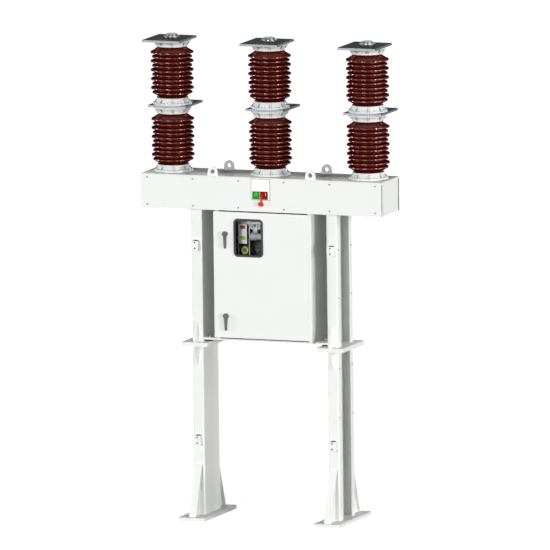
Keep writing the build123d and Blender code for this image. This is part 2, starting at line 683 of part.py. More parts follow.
def window_glass():
    """The pane, seated in the gasket's inner groove."""
    outline = window_outline(GASKET_BAND - GASKET_GLASS_GRIP)
    glass_front = -DOOR_FRONT + DOOR_SHEET / 2 - GLASS_THICK / 2
    return upright(outline, WINDOW_X, glass_front, WINDOW_Z, GLASS_THICK)


def rosette(level):
    """A round plate on the door, under a handle's head."""
    outline = Circle(ROSETTE_DIA / 2) - Circle(HANDLE_SHAFT_DIA / 2 + PIN_CLEARANCE)
    return upright(outline, HANDLE_X, -DOOR_FRONT - ROSETTE_THICK, level, ROSETTE_THICK)


def handle(level):
    """A lever on its shaft, with the latch tongue on the shaft's inner end."""
    back = -DOOR_FRONT - HANDLE_STANDOFF
    root = Circle(HANDLE_ROOT_WIDTH / 2)
    tip = Pos(0, -HANDLE_LENGTH) * Circle(HANDLE_TIP_WIDTH / 2)
    blade = make_hull(root.edges() + tip.edges())
    lever = upright(blade, HANDLE_X, back - HANDLE_LEVER_THICK, level, HANDLE_LEVER_THICK)
    lever = fillet(lever.faces().sort_by(Axis.Y)[0].edges(), HANDLE_EDGE_RADIUS)
    head = rod_y(HANDLE_X, back - HANDLE_HEAD_THICK, level, HANDLE_HEAD_DIA, HANDLE_HEAD_THICK)
    head = fillet(head.faces().sort_by(Axis.Y)[0].edges(), HANDLE_EDGE_RADIUS)
    latch_back = -DOOR_FRONT + DOOR_SHEET + LATCH_DEPTH
    shaft = rod_y(HANDLE_X, back, level, HANDLE_SHAFT_DIA, latch_back - back)
    tongue = SlotCenterToCenter(LATCH_LENGTH - LATCH_WIDTH / 2, LATCH_WIDTH)
    tongue = Pos(LATCH_WIDTH / 4 - LATCH_LENGTH / 2, 0) * tongue
    return head + lever + shaft + upright(tongue, HANDLE_X, latch_back - LATCH_THICK, level, LATCH_THICK)


# Position indicator
def indicator_plate():
    """The flat plate behind the pointer."""
    outline = RectangleRounded(INDICATOR_WIDTH, INDICATOR_HEIGHT, INDICATOR_CORNER)
    return upright(outline, INDICATOR_X, COVER_FRONT_Y - INDICATOR_THICK, INDICATOR_Z, INDICATOR_THICK)


def pointer():
    """A tapered blade on a boss, with its shaft and the collar that keeps it in the cover."""
    back = COVER_FRONT_Y - POINTER_STANDOFF
    root = Circle(POINTER_ROOT_WIDTH / 2)
    tip = Pos(0, POINTER_LENGTH - POINTER_TIP_WIDTH / 2) * Circle(POINTER_TIP_WIDTH / 2)
    blade = Rot(0, 0, -POINTER_LEAN) * make_hull(root.edges() + tip.edges())
    needle = upright(blade, POINTER_X, back - POINTER_BLADE_THICK, POINTER_Z, POINTER_BLADE_THICK)
    boss = rod_y(POINTER_X, back - POINTER_BOSS_THICK, POINTER_Z, POINTER_BOSS_DIA, POINTER_BOSS_THICK)
    collar_front = COVER_FRONT_Y + COVER_THICK + POINTER_COLLAR_GAP
    shaft = rod_y(POINTER_X, back, POINTER_Z, POINTER_SHAFT_DIA, collar_front - back)
    collar = rod_y(POINTER_X, collar_front, POINTER_Z, POINTER_COLLAR_DIA, POINTER_COLLAR_THICK)
    return boss + needle + shaft + collar


# Operating mechanism
def mechanism_frame():
    """Three upright plates on the cabinet's rear sheet, joined by a cross plate and a front tie."""
    rear = CABINET_REAR - CABINET_SHEET
    top = FRAME_Z + FRAME_HEIGHT
    frame = span(
        FRAME_LEFT_X, FRAME_RIGHT_X, FRAME_BACK_PLATE_Y, FRAME_BACK_PLATE_Y + FRAME_PLATE_THICK, FRAME_Z, top
    )
    for x in (FRAME_LEFT_X, FRAME_MIDDLE_X, FRAME_RIGHT_X):
        half = FRAME_PLATE_THICK / 2
        frame += span(x - half, x + half, -FRAME_FRONT, rear, FRAME_Z, top)
    tie_front = -FRAME_FRONT + FRAME_TIE_SETBACK
    tie_back = tie_front + FRAME_PLATE_THICK
    tie_top = FRAME_TIE_Z + FRAME_TIE_HEIGHT
    return frame + span(FRAME_LEFT_X, FRAME_RIGHT_X, tie_front, tie_back, FRAME_TIE_Z, tie_top)


def label_panel():
    """A folded front panel on the left plate of the frame."""
    left = FRAME_LEFT_X + FRAME_PLATE_THICK / 2
    low = FRAME_Z + LABEL_PANEL_RISE
    high = low + LABEL_PANEL_HEIGHT
    front = -FRAME_FRONT - LABEL_PANEL_THICK
    face = span(left, left + LABEL_PANEL_WIDTH, front, -FRAME_FRONT, low, high)
    fold_high = min(high, FRAME_TIE_Z)
    fold = span(left, left + LABEL_PANEL_THICK, front, front + LABEL_PANEL_RETURN, low, fold_high)
    return face + fold


def cam_wheel():
    """The cam on its shaft, which runs back to the frame's cross plate."""
    x = FRAME_MIDDLE_X - FRAME_PLATE_THICK / 2 - CAM_SIDE_GAP - CAM_DIA / 2
    z = FRAME_Z + CAM_RISE
    disc = rod_y(x, -CAM_FRONT, z, CAM_DIA, CAM_THICK)
    disc -= rod_y(x, -CAM_FRONT - CUT_OVERRUN, z, CAM_DIA - 2 * CAM_RIM, CAM_DISH + CUT_OVERRUN)
    hub = rod_y(x, CAM_THICK - CAM_FRONT - CAM_HUB_THICK, z, CAM_HUB_DIA, CAM_HUB_THICK)
    shaft = rod_y(x, CAM_THICK - CAM_FRONT, z, CAM_SHAFT_DIA, FRAME_BACK_PLATE_Y + CAM_FRONT - CAM_THICK)
    return disc + hub + shaft


def coil_spring():
    """A flat spring case with an open eye, on a hub that runs back to the cross plate."""
    x = FRAME_MIDDLE_X + SPRING_FROM_MIDDLE
    z = FRAME_Z + SPRING_RISE
    case = rod_y(x, -SPRING_FRONT, z, SPRING_DIA, SPRING_THICK)
    eye = rod_y(x, -SPRING_FRONT - CUT_OVERRUN, z, SPRING_EYE_DIA, SPRING_THICK / 2 + CUT_OVERRUN)
    hub = rod_y(x, -SPRING_FRONT, z, SPRING_HUB_DIA, FRAME_BACK_PLATE_Y + SPRING_FRONT)
    return case - eye + hub


def charging_motor():
    """A motor and its gearbox in line, flanged to the middle plate of the frame."""
    x = FRAME_MIDDLE_X + FRAME_PLATE_THICK / 2
    motor = rod_x(x, MOTOR_Y, MOTOR_Z, MOTOR_DIA, MOTOR_LENGTH)
    return motor + rod_x(x + MOTOR_LENGTH, MOTOR_Y, MOTOR_Z, GEARBOX_DIA, GEARBOX_LENGTH)


def link_plate():
    """A bright T plate with a notch and two holes, folded onto the middle plate of the frame."""
    left = FRAME_MIDDLE_X + FRAME_PLATE_THICK / 2
    front = -FRAME_FRONT + LINK_PLATE_SETBACK
    low = MOTOR_Z + MOTOR_DIA / 2 + LINK_PLATE_END_GAP
    high = FRAME_TIE_Z - LINK_PLATE_END_GAP
    height = high - low
    bar_height = LINK_PLATE_BAR_SHARE * height
    bar_middle = (height - bar_height) / 2
    bar = Pos(0, bar_middle) * Rectangle(LINK_PLATE_WIDTH, bar_height)
    outline = bar + Rectangle(LINK_PLATE_STEM, height)
    notch = Pos(0, height / 2) * Rectangle(LINK_PLATE_SLOT, bar_height)
    holes = GridLocations(LINK_PLATE_WIDTH / 2, 0, 2, 1) * Circle(LINK_PLATE_HOLE_DIA / 2)
    cuts = [Pos(0, bar_middle) * hole for hole in holes]
    face = upright(
        outline - notch - cuts, left + LINK_PLATE_WIDTH / 2, front, low + height / 2, LINK_PLATE_THICK
    )
    fold = span(left, left + LINK_PLATE_THICK, front, front + LINK_PLATE_RETURN, high - bar_height, high)
    return face + fold


parts = {}
parts["base_plates"] = Compound([base_plate(side) for side in SIDES.values()])
for name, side in SIDES.items():
    parts[name + "_lower_leg"] = leg(side, LOWER_LEG_Z, LOWER_LEG_LENGTH)
    parts[name + "_upper_leg"] = leg(side, UPPER_LEG_Z, UPPER_LEG_LENGTH)
parts["foot_gussets"] = Compound([foot_gusset(side, face) for side in SIDES.values() for face in (-1, 1)])
parts["splice_gussets"] = Compound(
    [
        splice_gusset(side, face, upward)
        for side in SIDES.values()
        for face in (-1, 1)
        for upward in (-1, 1)
    ]
)
for name, z in (("lower", SPLICE_Z), ("upper", SPLICE_Z + SPLICE_PLATE_THICK)):
    parts[name + "_splice_plates"] = Compound(
        [
            rounded_plate(
                side * LEG_CENTRE_X,
                0,
                z,
                SPLICE_PLATE_WIDTH,
                SPLICE_PLATE_DEPTH,
                SPLICE_PLATE_THICK,
                SPLICE_PLATE_CORNER,
            )
            for side in SIDES.values()
        ]
    )
parts["head_plates"] = Compound(
    [
        block(side * LEG_CENTRE_X, 0, HEAD_PLATE_Z, HEAD_PLATE_WIDTH, HEAD_PLATE_DEPTH, HEAD_PLATE_THICK)
        for side in SIDES.values()
    ]
)
parts["earth_pads"] = Compound(
    [
        earth_pad(side, z)
        for side in SIDES.values()
        for z in (UPPER_PAD_Z, LOWER_PAD_Z)
    ]
)
parts["cabinet_rails"] = Compound([rail(face) for face in (-1, 1)])
parts["rail_packings"] = Compound([rail_packing(side, face) for side in SIDES.values() for face in (-1, 1)])

parts["housing_top"] = housing_slab(
    HOUSING_LENGTH, HOUSING_TOP_Z - HOUSING_TOP_THICK, HOUSING_TOP_THICK, COVER_THICK
)
parts["housing_bottom"] = housing_slab(HOUSING_LENGTH, HOUSING_Z, HOUSING_BOTTOM_THICK, 0)
parts["housing_ends"] = Compound([housing_end(side) for side in SIDES.values()])
parts["front_cover"] = front_cover()
parts["rear_cover"] = cover(HOUSING_REAR, -1, REAR_COVER_RETURN)
parts["lifting_eyes"] = Compound(
    [
        lifting_eye(side * POLE_SPACING / 2, y)
        for side in SIDES.values()
        for y in (EYE_EDGE_DISTANCE - HOUSING_FRONT, HOUSING_REAR - EYE_EDGE_DISTANCE)
    ]
)
parts["indicator_plate"] = indicator_plate()
parts["position_pointer"] = pointer()

pole_flange = flange()
pole_insulator = insulator()
hanging_flange = Pos(0, 0, STAGE_HEIGHT - TERMINAL_THICK) * Rot(180, 0, 0) * pole_flange
insulator_rise = FLANGE_HEIGHT - FLANGE_SOCKET_DEPTH
for index, name in enumerate(POLE_NAMES):
    foot = Pos((index - 1) * POLE_SPACING, 0, HOUSING_TOP_Z)
    stages = {"lower": foot, "upper": foot * Pos(0, 0, STAGE_HEIGHT)}
    castings = []
    porcelain = []
    for place in stages.values():
        castings += [place * pole_flange, place * hanging_flange]
        porcelain.append(place * Pos(0, 0, insulator_rise) * pole_insulator)
    parts[name + "_flanges"] = Compound(castings)
    parts[name + "_insulators"] = Compound(porcelain)
    plate_rise = Pos(0, 0, STAGE_HEIGHT - TERMINAL_THICK)
    parts[name + "_middle_terminal"] = stages["lower"] * plate_rise * terminal(True)
    parts[name + "_top_terminal"] = stages["upper"] * plate_rise * top_terminal()

parts["cabinet_walls"] = Compound([cabinet_wall(side) for side in SIDES.values()])
parts["cabinet_floor"] = cabinet_sheet(CABINET_Z)
parts["cabinet_roof"] = cabinet_sheet(HOUSING_Z - CABINET_SHEET)
parts["cabinet_back"] = cabinet_back()
parts["hinge_brackets"] = Compound([hinge_bracket(DOOR_TOP_Z, 1), hinge_bracket(DOOR_Z, -1)])
parts["cabinet_door"] = door()
parts["window_gasket"] = window_gasket()
parts["window_glass"] = window_glass()
parts["handle_rosettes"] = Compound([rosette(level) for level in HANDLE_LEVELS.values()])
for name, level in HANDLE_LEVELS.items():
    parts[name + "_handle"] = handle(level)
parts["mechanism_frame"] = mechanism_frame()
parts["label_panel"] = label_panel()
parts["cam_wheel"] = cam_wheel()
parts["coil_spring"] = coil_spring()
parts["charging_motor"] = charging_motor()
parts["link_plate"] = link_plate()

os.makedirs("parts", exist_ok=True)
for name, shape in parts.items():
    export_step(shape, "parts/" + name + ".step")
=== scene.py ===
"""Gas insulated breaker: porcelain poles on a painted steel stand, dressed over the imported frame."""
import math

import bmesh
import bpy
from mathutils import Matrix, Vector


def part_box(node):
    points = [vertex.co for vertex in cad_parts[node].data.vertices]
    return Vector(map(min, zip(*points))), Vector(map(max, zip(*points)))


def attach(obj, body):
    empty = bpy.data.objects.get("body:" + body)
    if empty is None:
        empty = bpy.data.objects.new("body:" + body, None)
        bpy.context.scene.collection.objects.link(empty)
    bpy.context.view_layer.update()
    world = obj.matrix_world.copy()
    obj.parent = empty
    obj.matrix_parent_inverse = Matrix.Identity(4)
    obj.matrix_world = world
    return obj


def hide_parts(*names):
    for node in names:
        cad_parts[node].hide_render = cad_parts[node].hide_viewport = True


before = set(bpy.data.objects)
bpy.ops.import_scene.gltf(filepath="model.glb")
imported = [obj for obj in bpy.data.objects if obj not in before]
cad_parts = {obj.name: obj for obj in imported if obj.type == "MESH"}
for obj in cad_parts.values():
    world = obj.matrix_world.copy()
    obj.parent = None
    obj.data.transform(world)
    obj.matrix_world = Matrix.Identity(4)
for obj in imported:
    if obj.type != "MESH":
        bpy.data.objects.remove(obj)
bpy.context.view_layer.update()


# Stand: base plates, folded channel legs, gussets, splice plates, head plates and the cabinet's rails.
# Mild steel plate and folded sheet, cut, welded and powder coated white, so edges are slightly rounded
# and the surface has the fine skin of a baked powder.
MM = 0.001


def linear(hex_colour):
    """An sRGB hex colour as linear RGBA."""
    channels = [int(hex_colour[start : start + 2], 16) / 255 for start in (1, 3, 5)]
    return [c / 12.92 if c <= 0.04045 else ((c + 0.055) / 1.055) ** 2.4 for c in channels] + [1.0]


def add_node(tree, kind, settings=None, links=None):
    """Add a node; settings fill its properties and inputs, links join its inputs to sockets."""
    node = tree.nodes.new(kind)
    for key, value in (settings or {}).items():
        if isinstance(key, str) and hasattr(node, key):
            setattr(node, key, value)
        else:
            node.inputs[key].default_value = value
    for key, source in (links or {}).items():
        tree.links.new(source, node.inputs[key])
    return node


def start_material(name):
    """A new material with an empty node tree."""
    material = bpy.data.materials.new(name)
    material.use_nodes = True
    material.node_tree.nodes.clear()
    return material, material.node_tree


def finish_nodes(material, *names):
    """Give CAD nodes a material."""
    for name in names:
        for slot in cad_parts[name].material_slots:
            slot.material = material


# Powder coat: a baked polyester skin. It gives a soft wide gloss, a faint orange peel and,
# over a forearm's length, slight changes of shade where the coat is thicker. The peel of about 1.5 mm
# is drawn at 4 mm so that it shows.
COAT_WHITE = "#e9eae8"
COAT_SHADE = "#e4e6e4"
COAT_DRIFT = 260 * MM
COAT_PEEL = 4 * MM
COAT_GLOSS = {"To Min": 0.36, "To Max": 0.48}
COAT_SHINE = 0.05
white_powder_coat, tree = start_material("white_powder_coated_steel")
place = add_node(tree, "ShaderNodeTexCoord").outputs["Object"]
drift = add_node(
    tree, "ShaderNodeTexNoise", {"Scale": 1 / COAT_DRIFT, "Detail": 3.0}, {"Vector": place}
).outputs["Fac"]
peel = add_node(
    tree, "ShaderNodeTexNoise", {"Scale": 1 / COAT_PEEL, "Detail": 1.0}, {"Vector": place}
).outputs["Fac"]
colour = add_node(
    tree,
    "ShaderNodeMix",
    {"data_type": "RGBA", 6: linear(COAT_WHITE), 7: linear(COAT_SHADE)},
    {0: drift},
).outputs[2]
gloss = add_node(tree, "ShaderNodeMapRange", COAT_GLOSS, {"Value": drift}).outputs[0]
skin = add_node(
    tree, "ShaderNodeBump", {"Strength": 0.25, "Distance": 0.12 * MM}, {"Height": peel}
).outputs[0]
coat = add_node(
    tree,
    "ShaderNodeBsdfPrincipled",
    {"IOR": 1.5, "Specular IOR Level": COAT_SHINE},
    {"Base Color": colour, "Roughness": gloss, "Normal": skin},
)
add_node(tree, "ShaderNodeOutputMaterial", None, {"Surface": coat.outputs[0]})
finish_nodes(
    white_powder_coat,
    "base_plates",
    "left_lower_leg",
    "right_lower_leg",
    "left_upper_leg",
    "right_upper_leg",
    "foot_gussets",
    "splice_gussets",
    "lower_splice_plates",
    "upper_splice_plates",
    "head_plates",
    "earth_pads",
    "cabinet_rails",
)


# Rail packings: black rubber blocks between the cabinet's rails and the splice plates, cut from sheet
# and squeezed by the rail bolts; their black is painted shade for the gap under each rail end. The
# rubber is matt, with a faint dusty drift of shade.
def plain_gloss(name, light, dark, gloss_low, gloss_high, patch, metallic=0.0, shine=0.5):
    """A moulded or painted surface whose shade and gloss drift over patches of the given size."""
    material, tree = start_material(name)
    place = add_node(tree, "ShaderNodeTexCoord").outputs["Object"]
    drift = add_node(
        tree, "ShaderNodeTexNoise", {"Scale": 1 / patch, "Detail": 4.0}, {"Vector": place}
    ).outputs["Fac"]
    colour = add_node(
        tree,
        "ShaderNodeMix",
        {"data_type": "RGBA", 6: linear(dark), 7: linear(light)},
        {0: drift},
    ).outputs[2]
    gloss = add_node(
        tree, "ShaderNodeMapRange", {"To Min": gloss_low, "To Max": gloss_high}, {"Value": drift}
    ).outputs[0]
    skin = add_node(
        tree, "ShaderNodeBump", {"Strength": 0.2, "Distance": 0.1 * MM}, {"Height": drift}
    ).outputs[0]
    surface = add_node(
        tree,
        "ShaderNodeBsdfPrincipled",
        {"Metallic": metallic, "Specular IOR Level": shine},
        {"Base Color": colour, "Roughness": gloss, "Normal": skin},
    )
    add_node(tree, "ShaderNodeOutputMaterial", None, {"Surface": surface.outputs[0]})
    return material


# Black rubber, shared with the bracket pads: its black is painted shade in gaps.
shade_black_rubber = plain_gloss("black_rubber_painted_shade", "#222322", "#171817", 0.6, 0.75, 12 * MM)
finish_nodes(shade_black_rubber, "rail_packings")


# Rail bolts: zinc plated hexagon bolts with washers that hold the two rails to the splice plates.
# Cold forged, so the head has a flat hexagon with a turned chamfer. Placed by a tree that takes
# points with the way each head faces.
WASHER_SIDES = 24
HEXAGON = 6
HEAD_SHARE = 0.82
CHAMFER_SHARE = 0.84
TWIST_SEED = 7


def start_tree(name, result, inputs):
    """A new tree with named inputs; gives the tree, its inputs' identifiers and their sockets."""
    tree = bpy.data.node_groups.new(name, "GeometryNodeTree")
    identifiers = {}
    for label, kind in inputs.items():
        socket = tree.interface.new_socket(label, in_out="INPUT", socket_type="NodeSocket" + kind)
        identifiers[label] = socket.identifier
    tree.interface.new_socket(result, in_out="OUTPUT", socket_type="NodeSocketGeometry")
    return tree, identifiers, add_node(tree, "NodeGroupInput").outputs


def finish_tree(tree, instances, material):
    """End a tree: make its instances real and give them their material."""
    real = add_node(tree, "GeometryNodeRealizeInstances", None, {"Geometry": instances}).outputs[0]
    shown = add_node(
        tree, "GeometryNodeSetMaterial", None, {"Geometry": real, "Material": material}
    ).outputs[0]
    add_node(tree, "NodeGroupOutput", None, {0: shown})


def fastener_tree():
    """A tree that sets a washer and a chamfered head on every point of the mesh."""
    tree, identifiers, given = start_tree(
        "fasteners",
        "Fasteners",
        {
            "Points": "Geometry",
            "Head radius": "Float",
            "Head height": "Float",
            "Sides": "Int",
            "Washer radius": "Float",
            "Washer thickness": "Float",
            "Material": "Material",
        },
    )
    washer = add_node(
        tree,
        "GeometryNodeMeshCone",
        {"Vertices": WASHER_SIDES},
        {
            "Radius Top": given["Washer radius"],
            "Radius Bottom": given["Washer radius"],
            "Depth": given["Washer thickness"],
        },
    ).outputs["Mesh"]
    heights = [
        add_node(
            tree, "ShaderNodeMath", {"operation": "MULTIPLY", 1: share}, {0: given["Head height"]}
        ).outputs[0]
        for share in (HEAD_SHARE, 1 - HEAD_SHARE)
    ]
    chamfer_radius = add_node(
        tree, "ShaderNodeMath", {"operation": "MULTIPLY", 1: CHAMFER_SHARE}, {0: given["Head radius"]}
    ).outputs[0]
    chamfer_rise = add_node(
        tree, "ShaderNodeMath", {"operation": "ADD"}, {0: heights[0], 1: given["Washer thickness"]}
    ).outputs[0]
    pieces = [washer]
    for top, height, rise in (
        (given["Head radius"], heights[0], given["Washer thickness"]),
        (chamfer_radius, heights[1], chamfer_rise),
    ):
        cone = add_node(
            tree,
            "GeometryNodeMeshCone",
            None,
            {
                "Vertices": given["Sides"],
                "Radius Top": top,
                "Radius Bottom": given["Head radius"],
                "Depth": height,
            },
        ).outputs["Mesh"]
        lift = add_node(tree, "ShaderNodeCombineXYZ", None, {"Z": rise}).outputs[0]
        pieces.append(
            add_node(
                tree, "GeometryNodeTransform", None, {"Geometry": cone, "Translation": lift}
            ).outputs[0]
        )
    joined = add_node(tree, "GeometryNodeJoinGeometry")
    for piece in reversed(pieces):
        tree.links.new(piece, joined.inputs[0])
    facing = add_node(
        tree, "GeometryNodeInputNamedAttribute", {"data_type": "FLOAT_VECTOR", "Name": "facing"}
    ).outputs["Attribute"]
    aimed = add_node(
        tree, "FunctionNodeAlignRotationToVector", {"axis": "Z"}, {"Vector": facing}
    ).outputs[0]
    angle = add_node(
        tree,
        "FunctionNodeRandomValue",
        {"data_type": "FLOAT", 2: 0.0, 3: math.tau, "Seed": TWIST_SEED},
    ).outputs[1]
    twist = add_node(
        tree, "FunctionNodeAxisAngleToRotation", {"Axis": (0.0, 0.0, 1.0)}, {"Angle": angle}
    ).outputs[0]
    turned = add_node(
        tree,
        "FunctionNodeRotateRotation",
        {"rotation_space": "LOCAL"},
        {"Rotation": aimed, "Rotate By": twist},
    ).outputs[0]
    placed = add_node(
        tree,
        "GeometryNodeInstanceOnPoints",
        None,
        {"Points": given["Points"], "Instance": joined.outputs[0], "Rotation": turned},
    ).outputs[0]
    finish_tree(tree, placed, given["Material"])
    return tree, identifiers


def new_object(name, mesh):
    """A mesh as an object of the scene."""
    made = bpy.data.objects.new(name, mesh)
    bpy.context.scene.collection.objects.link(made)
    return made


def grow(made, tree, identifiers, values):
    """Run a Geometry Nodes tree on an object and keep its result as a plain mesh."""
    modifier = made.modifiers.new(tree.name, "NODES")
    modifier.node_group = tree
    for name, value in values.items():
        modifier[identifiers[name]] = value
    graph = bpy.context.evaluated_depsgraph_get()
    result = bpy.data.meshes.new_from_object(made.evaluated_get(graph), depsgraph=graph)
    made.modifiers.clear()
    made.data = result


fasteners, fastener_inputs = fastener_tree()


def set_fasteners(name, material, places, sizes, sides=HEXAGON):
    """Bolts or screws at places of a point and the way it faces.

    The sizes are the head's radius and height, then the washer's radius and thickness.
    """
    mesh = bpy.data.meshes.new(name)
    mesh.from_pydata([point for point, facing in places], [], [])
    mesh.attributes.new("facing", "FLOAT_VECTOR", "POINT")
    for item, (point, facing) in zip(mesh.attributes["facing"].data, places):
        item.vector = facing
    made = new_object(name, mesh)
    head_radius, head_height, washer_radius, washer_thickness = sizes
    values = {
        "Head radius": head_radius,
        "Head height": head_height,
        "Sides": sides,
        "Washer radius": washer_radius,
        "Washer thickness": washer_thickness,
        "Material": material,
    }
    grow(made, fasteners, fastener_inputs, values)
    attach(made, "stand")


# Zinc plate: a thin bright electroplated layer on steel. It gives a grey metal with a slightly
# cloudy shine; the spangle of about 2 mm is drawn at 6 mm so that it shows.
MOTTLE_GRAINS = 6


def bare_metal(name, light, dark, gloss_low, gloss_high, grain, relief):
    """A bare metal with mottled shade and a grain of the given size."""
    material, tree = start_material(name)
    place = add_node(tree, "ShaderNodeTexCoord").outputs["Object"]
    mottle = add_node(
        tree,
        "ShaderNodeTexNoise",
        {"Scale": 1 / (MOTTLE_GRAINS * grain), "Detail": 4.0},
        {"Vector": place},
    ).outputs["Fac"]
    grit = add_node(
        tree, "ShaderNodeTexNoise", {"Scale": 1 / grain, "Detail": 2.0}, {"Vector": place}
    ).outputs["Fac"]
    colour = add_node(
        tree,
        "ShaderNodeMix",
        {"data_type": "RGBA", 6: linear(dark), 7: linear(light)},
        {0: mottle},
    ).outputs[2]
    gloss = add_node(
        tree, "ShaderNodeMapRange", {"To Min": gloss_low, "To Max": gloss_high}, {"Value": grit}
    ).outputs[0]
    skin = add_node(
        tree, "ShaderNodeBump", {"Strength": 0.4, "Distance": relief}, {"Height": grit}
    ).outputs[0]
    metal = add_node(
        tree,
        "ShaderNodeBsdfPrincipled",
        {"Metallic": 1.0},
        {"Base Color": colour, "Roughness": gloss, "Normal": skin},
    )
    add_node(tree, "ShaderNodeOutputMaterial", None, {"Surface": metal.outputs[0]})
    return material


zinc_plate = bare_metal("zinc_plated_steel", "#b9bcbf", "#8f9396", 0.28, 0.42, 6 * MM, 0.05 * MM)
RAIL_BOLT_X = 455 * MM
RAIL_BOLT_Y = 91 * MM
RAIL_BOLT_SIZES = (14 * MM, 10 * MM, 16 * MM, 3 * MM)
rail_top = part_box("cabinet_rails")[1].z
set_fasteners(
    "rail_bolts",
    zinc_plate,
    [
        (Vector((x, y, rail_top)), Vector((0, 0, 1)))
        for x in (-RAIL_BOLT_X, RAIL_BOLT_X)
        for y in (-RAIL_BOLT_Y, RAIL_BOLT_Y)
    ],
    RAIL_BOLT_SIZES,
)


# Hole plugs: black nylon plugs that close the cable tie holes along the lips of the legs.
# Moulded and pushed in from outside, so only a low round head shows, dull and almost black.
black_nylon = plain_gloss("black_moulded_nylon", "#4a4c4d", "#343637", 0.4, 0.55, 8 * MM)
PLUG_LEVELS = (2015 * MM, 1660 * MM, 1143 * MM, 783 * MM)
PLUG_Y = 130 * MM
PLUG_SIZES = (4 * MM, 1.5 * MM, 6 * MM, 1 * MM)
PLUG_SIDES = 16
lip_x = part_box("right_lower_leg")[1].x
set_fasteners(
    "hole_plugs",
    black_nylon,
    [
        (Vector((side * lip_x, y, z)), Vector((side, 0, 0)))
        for side in (-1, 1)
        for y in (-PLUG_Y, PLUG_Y)
        for z in PLUG_LEVELS
    ],
    PLUG_SIZES,
    PLUG_SIDES,
)


# Earth bracket pads: black rubber sheets on the legs behind the folded earthing brackets, painted shade
# for the inside of each bracket. They show dark through the brackets' holes and over their top edge.
SUNK_SHARE = 0.25
CORNER_STEPS = 4


def add_piece(name, shape, material):
    """Make a shape an object of the scene, fixed to the stand."""
    bmesh.ops.recalc_face_normals(shape, faces=shape.faces[:])
    mesh = bpy.data.meshes.new(name)
    shape.to_mesh(mesh)
    shape.free()
    mesh.materials.append(material)
    made = new_object(name, mesh)
    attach(made, "stand")


def prism(near, far):
    """A closed shape between two outlines with the same number of points."""
    shape = bmesh.new()
    near, far = ([shape.verts.new(point) for point in outline] for outline in (near, far))
    shape.faces.new(near)
    shape.faces.new(far[::-1])
    count = len(near)
    for index in range(count):
        after = (index + 1) % count
        shape.faces.new((near[index], far[index], far[after], near[after]))
    return shape


def flat_piece(name, material, outline, y, thick):
    """A thin upright piece of the given outline in X and Z, standing proud of y by thick."""
    front = [(x, y - thick, z) for x, z in outline]
    back = [(x, y + thick * SUNK_SHARE, z) for x, z in outline]
    add_piece(name, prism(front, back), material)


def rounded_field(left, right, low, high, corner):
    """The outline of a rectangle with rounded corners."""
    outline = []
    for x, z, start in (
        (right - corner, high - corner, 0),
        (left + corner, high - corner, 90),
        (left + corner, low + corner, 180),
        (right - corner, low + corner, 270),
    ):
        for step in range(CORNER_STEPS + 1):
            angle = math.radians(start + 90 * step / CORNER_STEPS)
            outline.append((x + corner * math.cos(angle), z + corner * math.sin(angle)))
    return outline


PAD_HALF = 19 * MM
PAD_RISE = 3 * MM
PAD_CORNER = 3 * MM
PAD_THICK = 2 * MM
BRACKET_HALF = 27 * MM
BRACKET_HEIGHT = 68 * MM
earth_low, earth_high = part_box("earth_pads")
for hand, x in (("left", earth_low.x + BRACKET_HALF), ("right", earth_high.x - BRACKET_HALF)):
    for storey, low in (("lower", earth_low.z), ("upper", earth_high.z - BRACKET_HEIGHT)):
        outline = rounded_field(
            x - PAD_HALF, x + PAD_HALF, low - PAD_RISE, low + BRACKET_HEIGHT + PAD_RISE, PAD_CORNER
        )
        # Each sheet is painted shade: its black stands for the shade inside the bracket.
        name = hand + "_" + storey + "_bracket_shade_pad"
        flat_piece(name, shade_black_rubber, outline, earth_high.y, PAD_THICK)


# Housing: the long box under the poles, with a thick top plate, sheet covers front and rear and end
# plates between them. Folded and welded steel, powder coated white; the top plate is matt behind and
# keeps its gloss towards the front edge, a painted sheen that lightens the top towards the front.
DUST_DRIFT = 180 * MM
MATT_FROM = 60 * MM
GLOSS_FROM = -190 * MM
top_enamel, tree = start_material("white_enamel_painted_front_sheen")
place = add_node(tree, "ShaderNodeTexCoord").outputs["Object"]
drift = add_node(
    tree, "ShaderNodeTexNoise", {"Scale": 1 / DUST_DRIFT, "Detail": 4.0}, {"Vector": place}
).outputs["Fac"]
depth = add_node(tree, "ShaderNodeSeparateXYZ", None, {"Vector": place}).outputs["Y"]
front_sheen = add_node(
    tree,
    "ShaderNodeMapRange",
    {"interpolation_type": "SMOOTHSTEP", "From Min": MATT_FROM, "From Max": GLOSS_FROM},
    {"Value": depth},
).outputs[0]
colour = add_node(
    tree,
    "ShaderNodeMix",
    {"data_type": "RGBA", 6: linear(COAT_WHITE), 7: linear("#dddfdd")},
    {0: drift},
).outputs[2]
gloss = add_node(
    tree, "ShaderNodeMapRange", {"To Min": 0.1, "To Max": 0.22}, {"Value": drift}
).outputs[0]
matt_rear = add_node(
    tree,
    "ShaderNodeBsdfPrincipled",
    {"IOR": 1.5, "Specular IOR Level": 0.0, "Roughness": 0.6},
    {"Base Color": colour},
)
glossy_front = add_node(
    tree,
    "ShaderNodeBsdfPrincipled",
    {"IOR": 1.5, "Specular IOR Level": COAT_SHINE},
    {"Base Color": colour, "Roughness": gloss},
)
# Painted sheen: matt at the rear and glossy towards the front edge, so the top lightens towards the
# front.
surface = add_node(
    tree, "ShaderNodeMixShader", None, {0: front_sheen, 1: matt_rear.outputs[0], 2: glossy_front.outputs[0]}
)
add_node(tree, "ShaderNodeOutputMaterial", None, {"Surface": surface.outputs[0]})
finish_nodes(top_enamel, "housing_top")
finish_nodes(white_powder_coat, "housing_bottom", "housing_ends", "front_cover", "rear_cover")
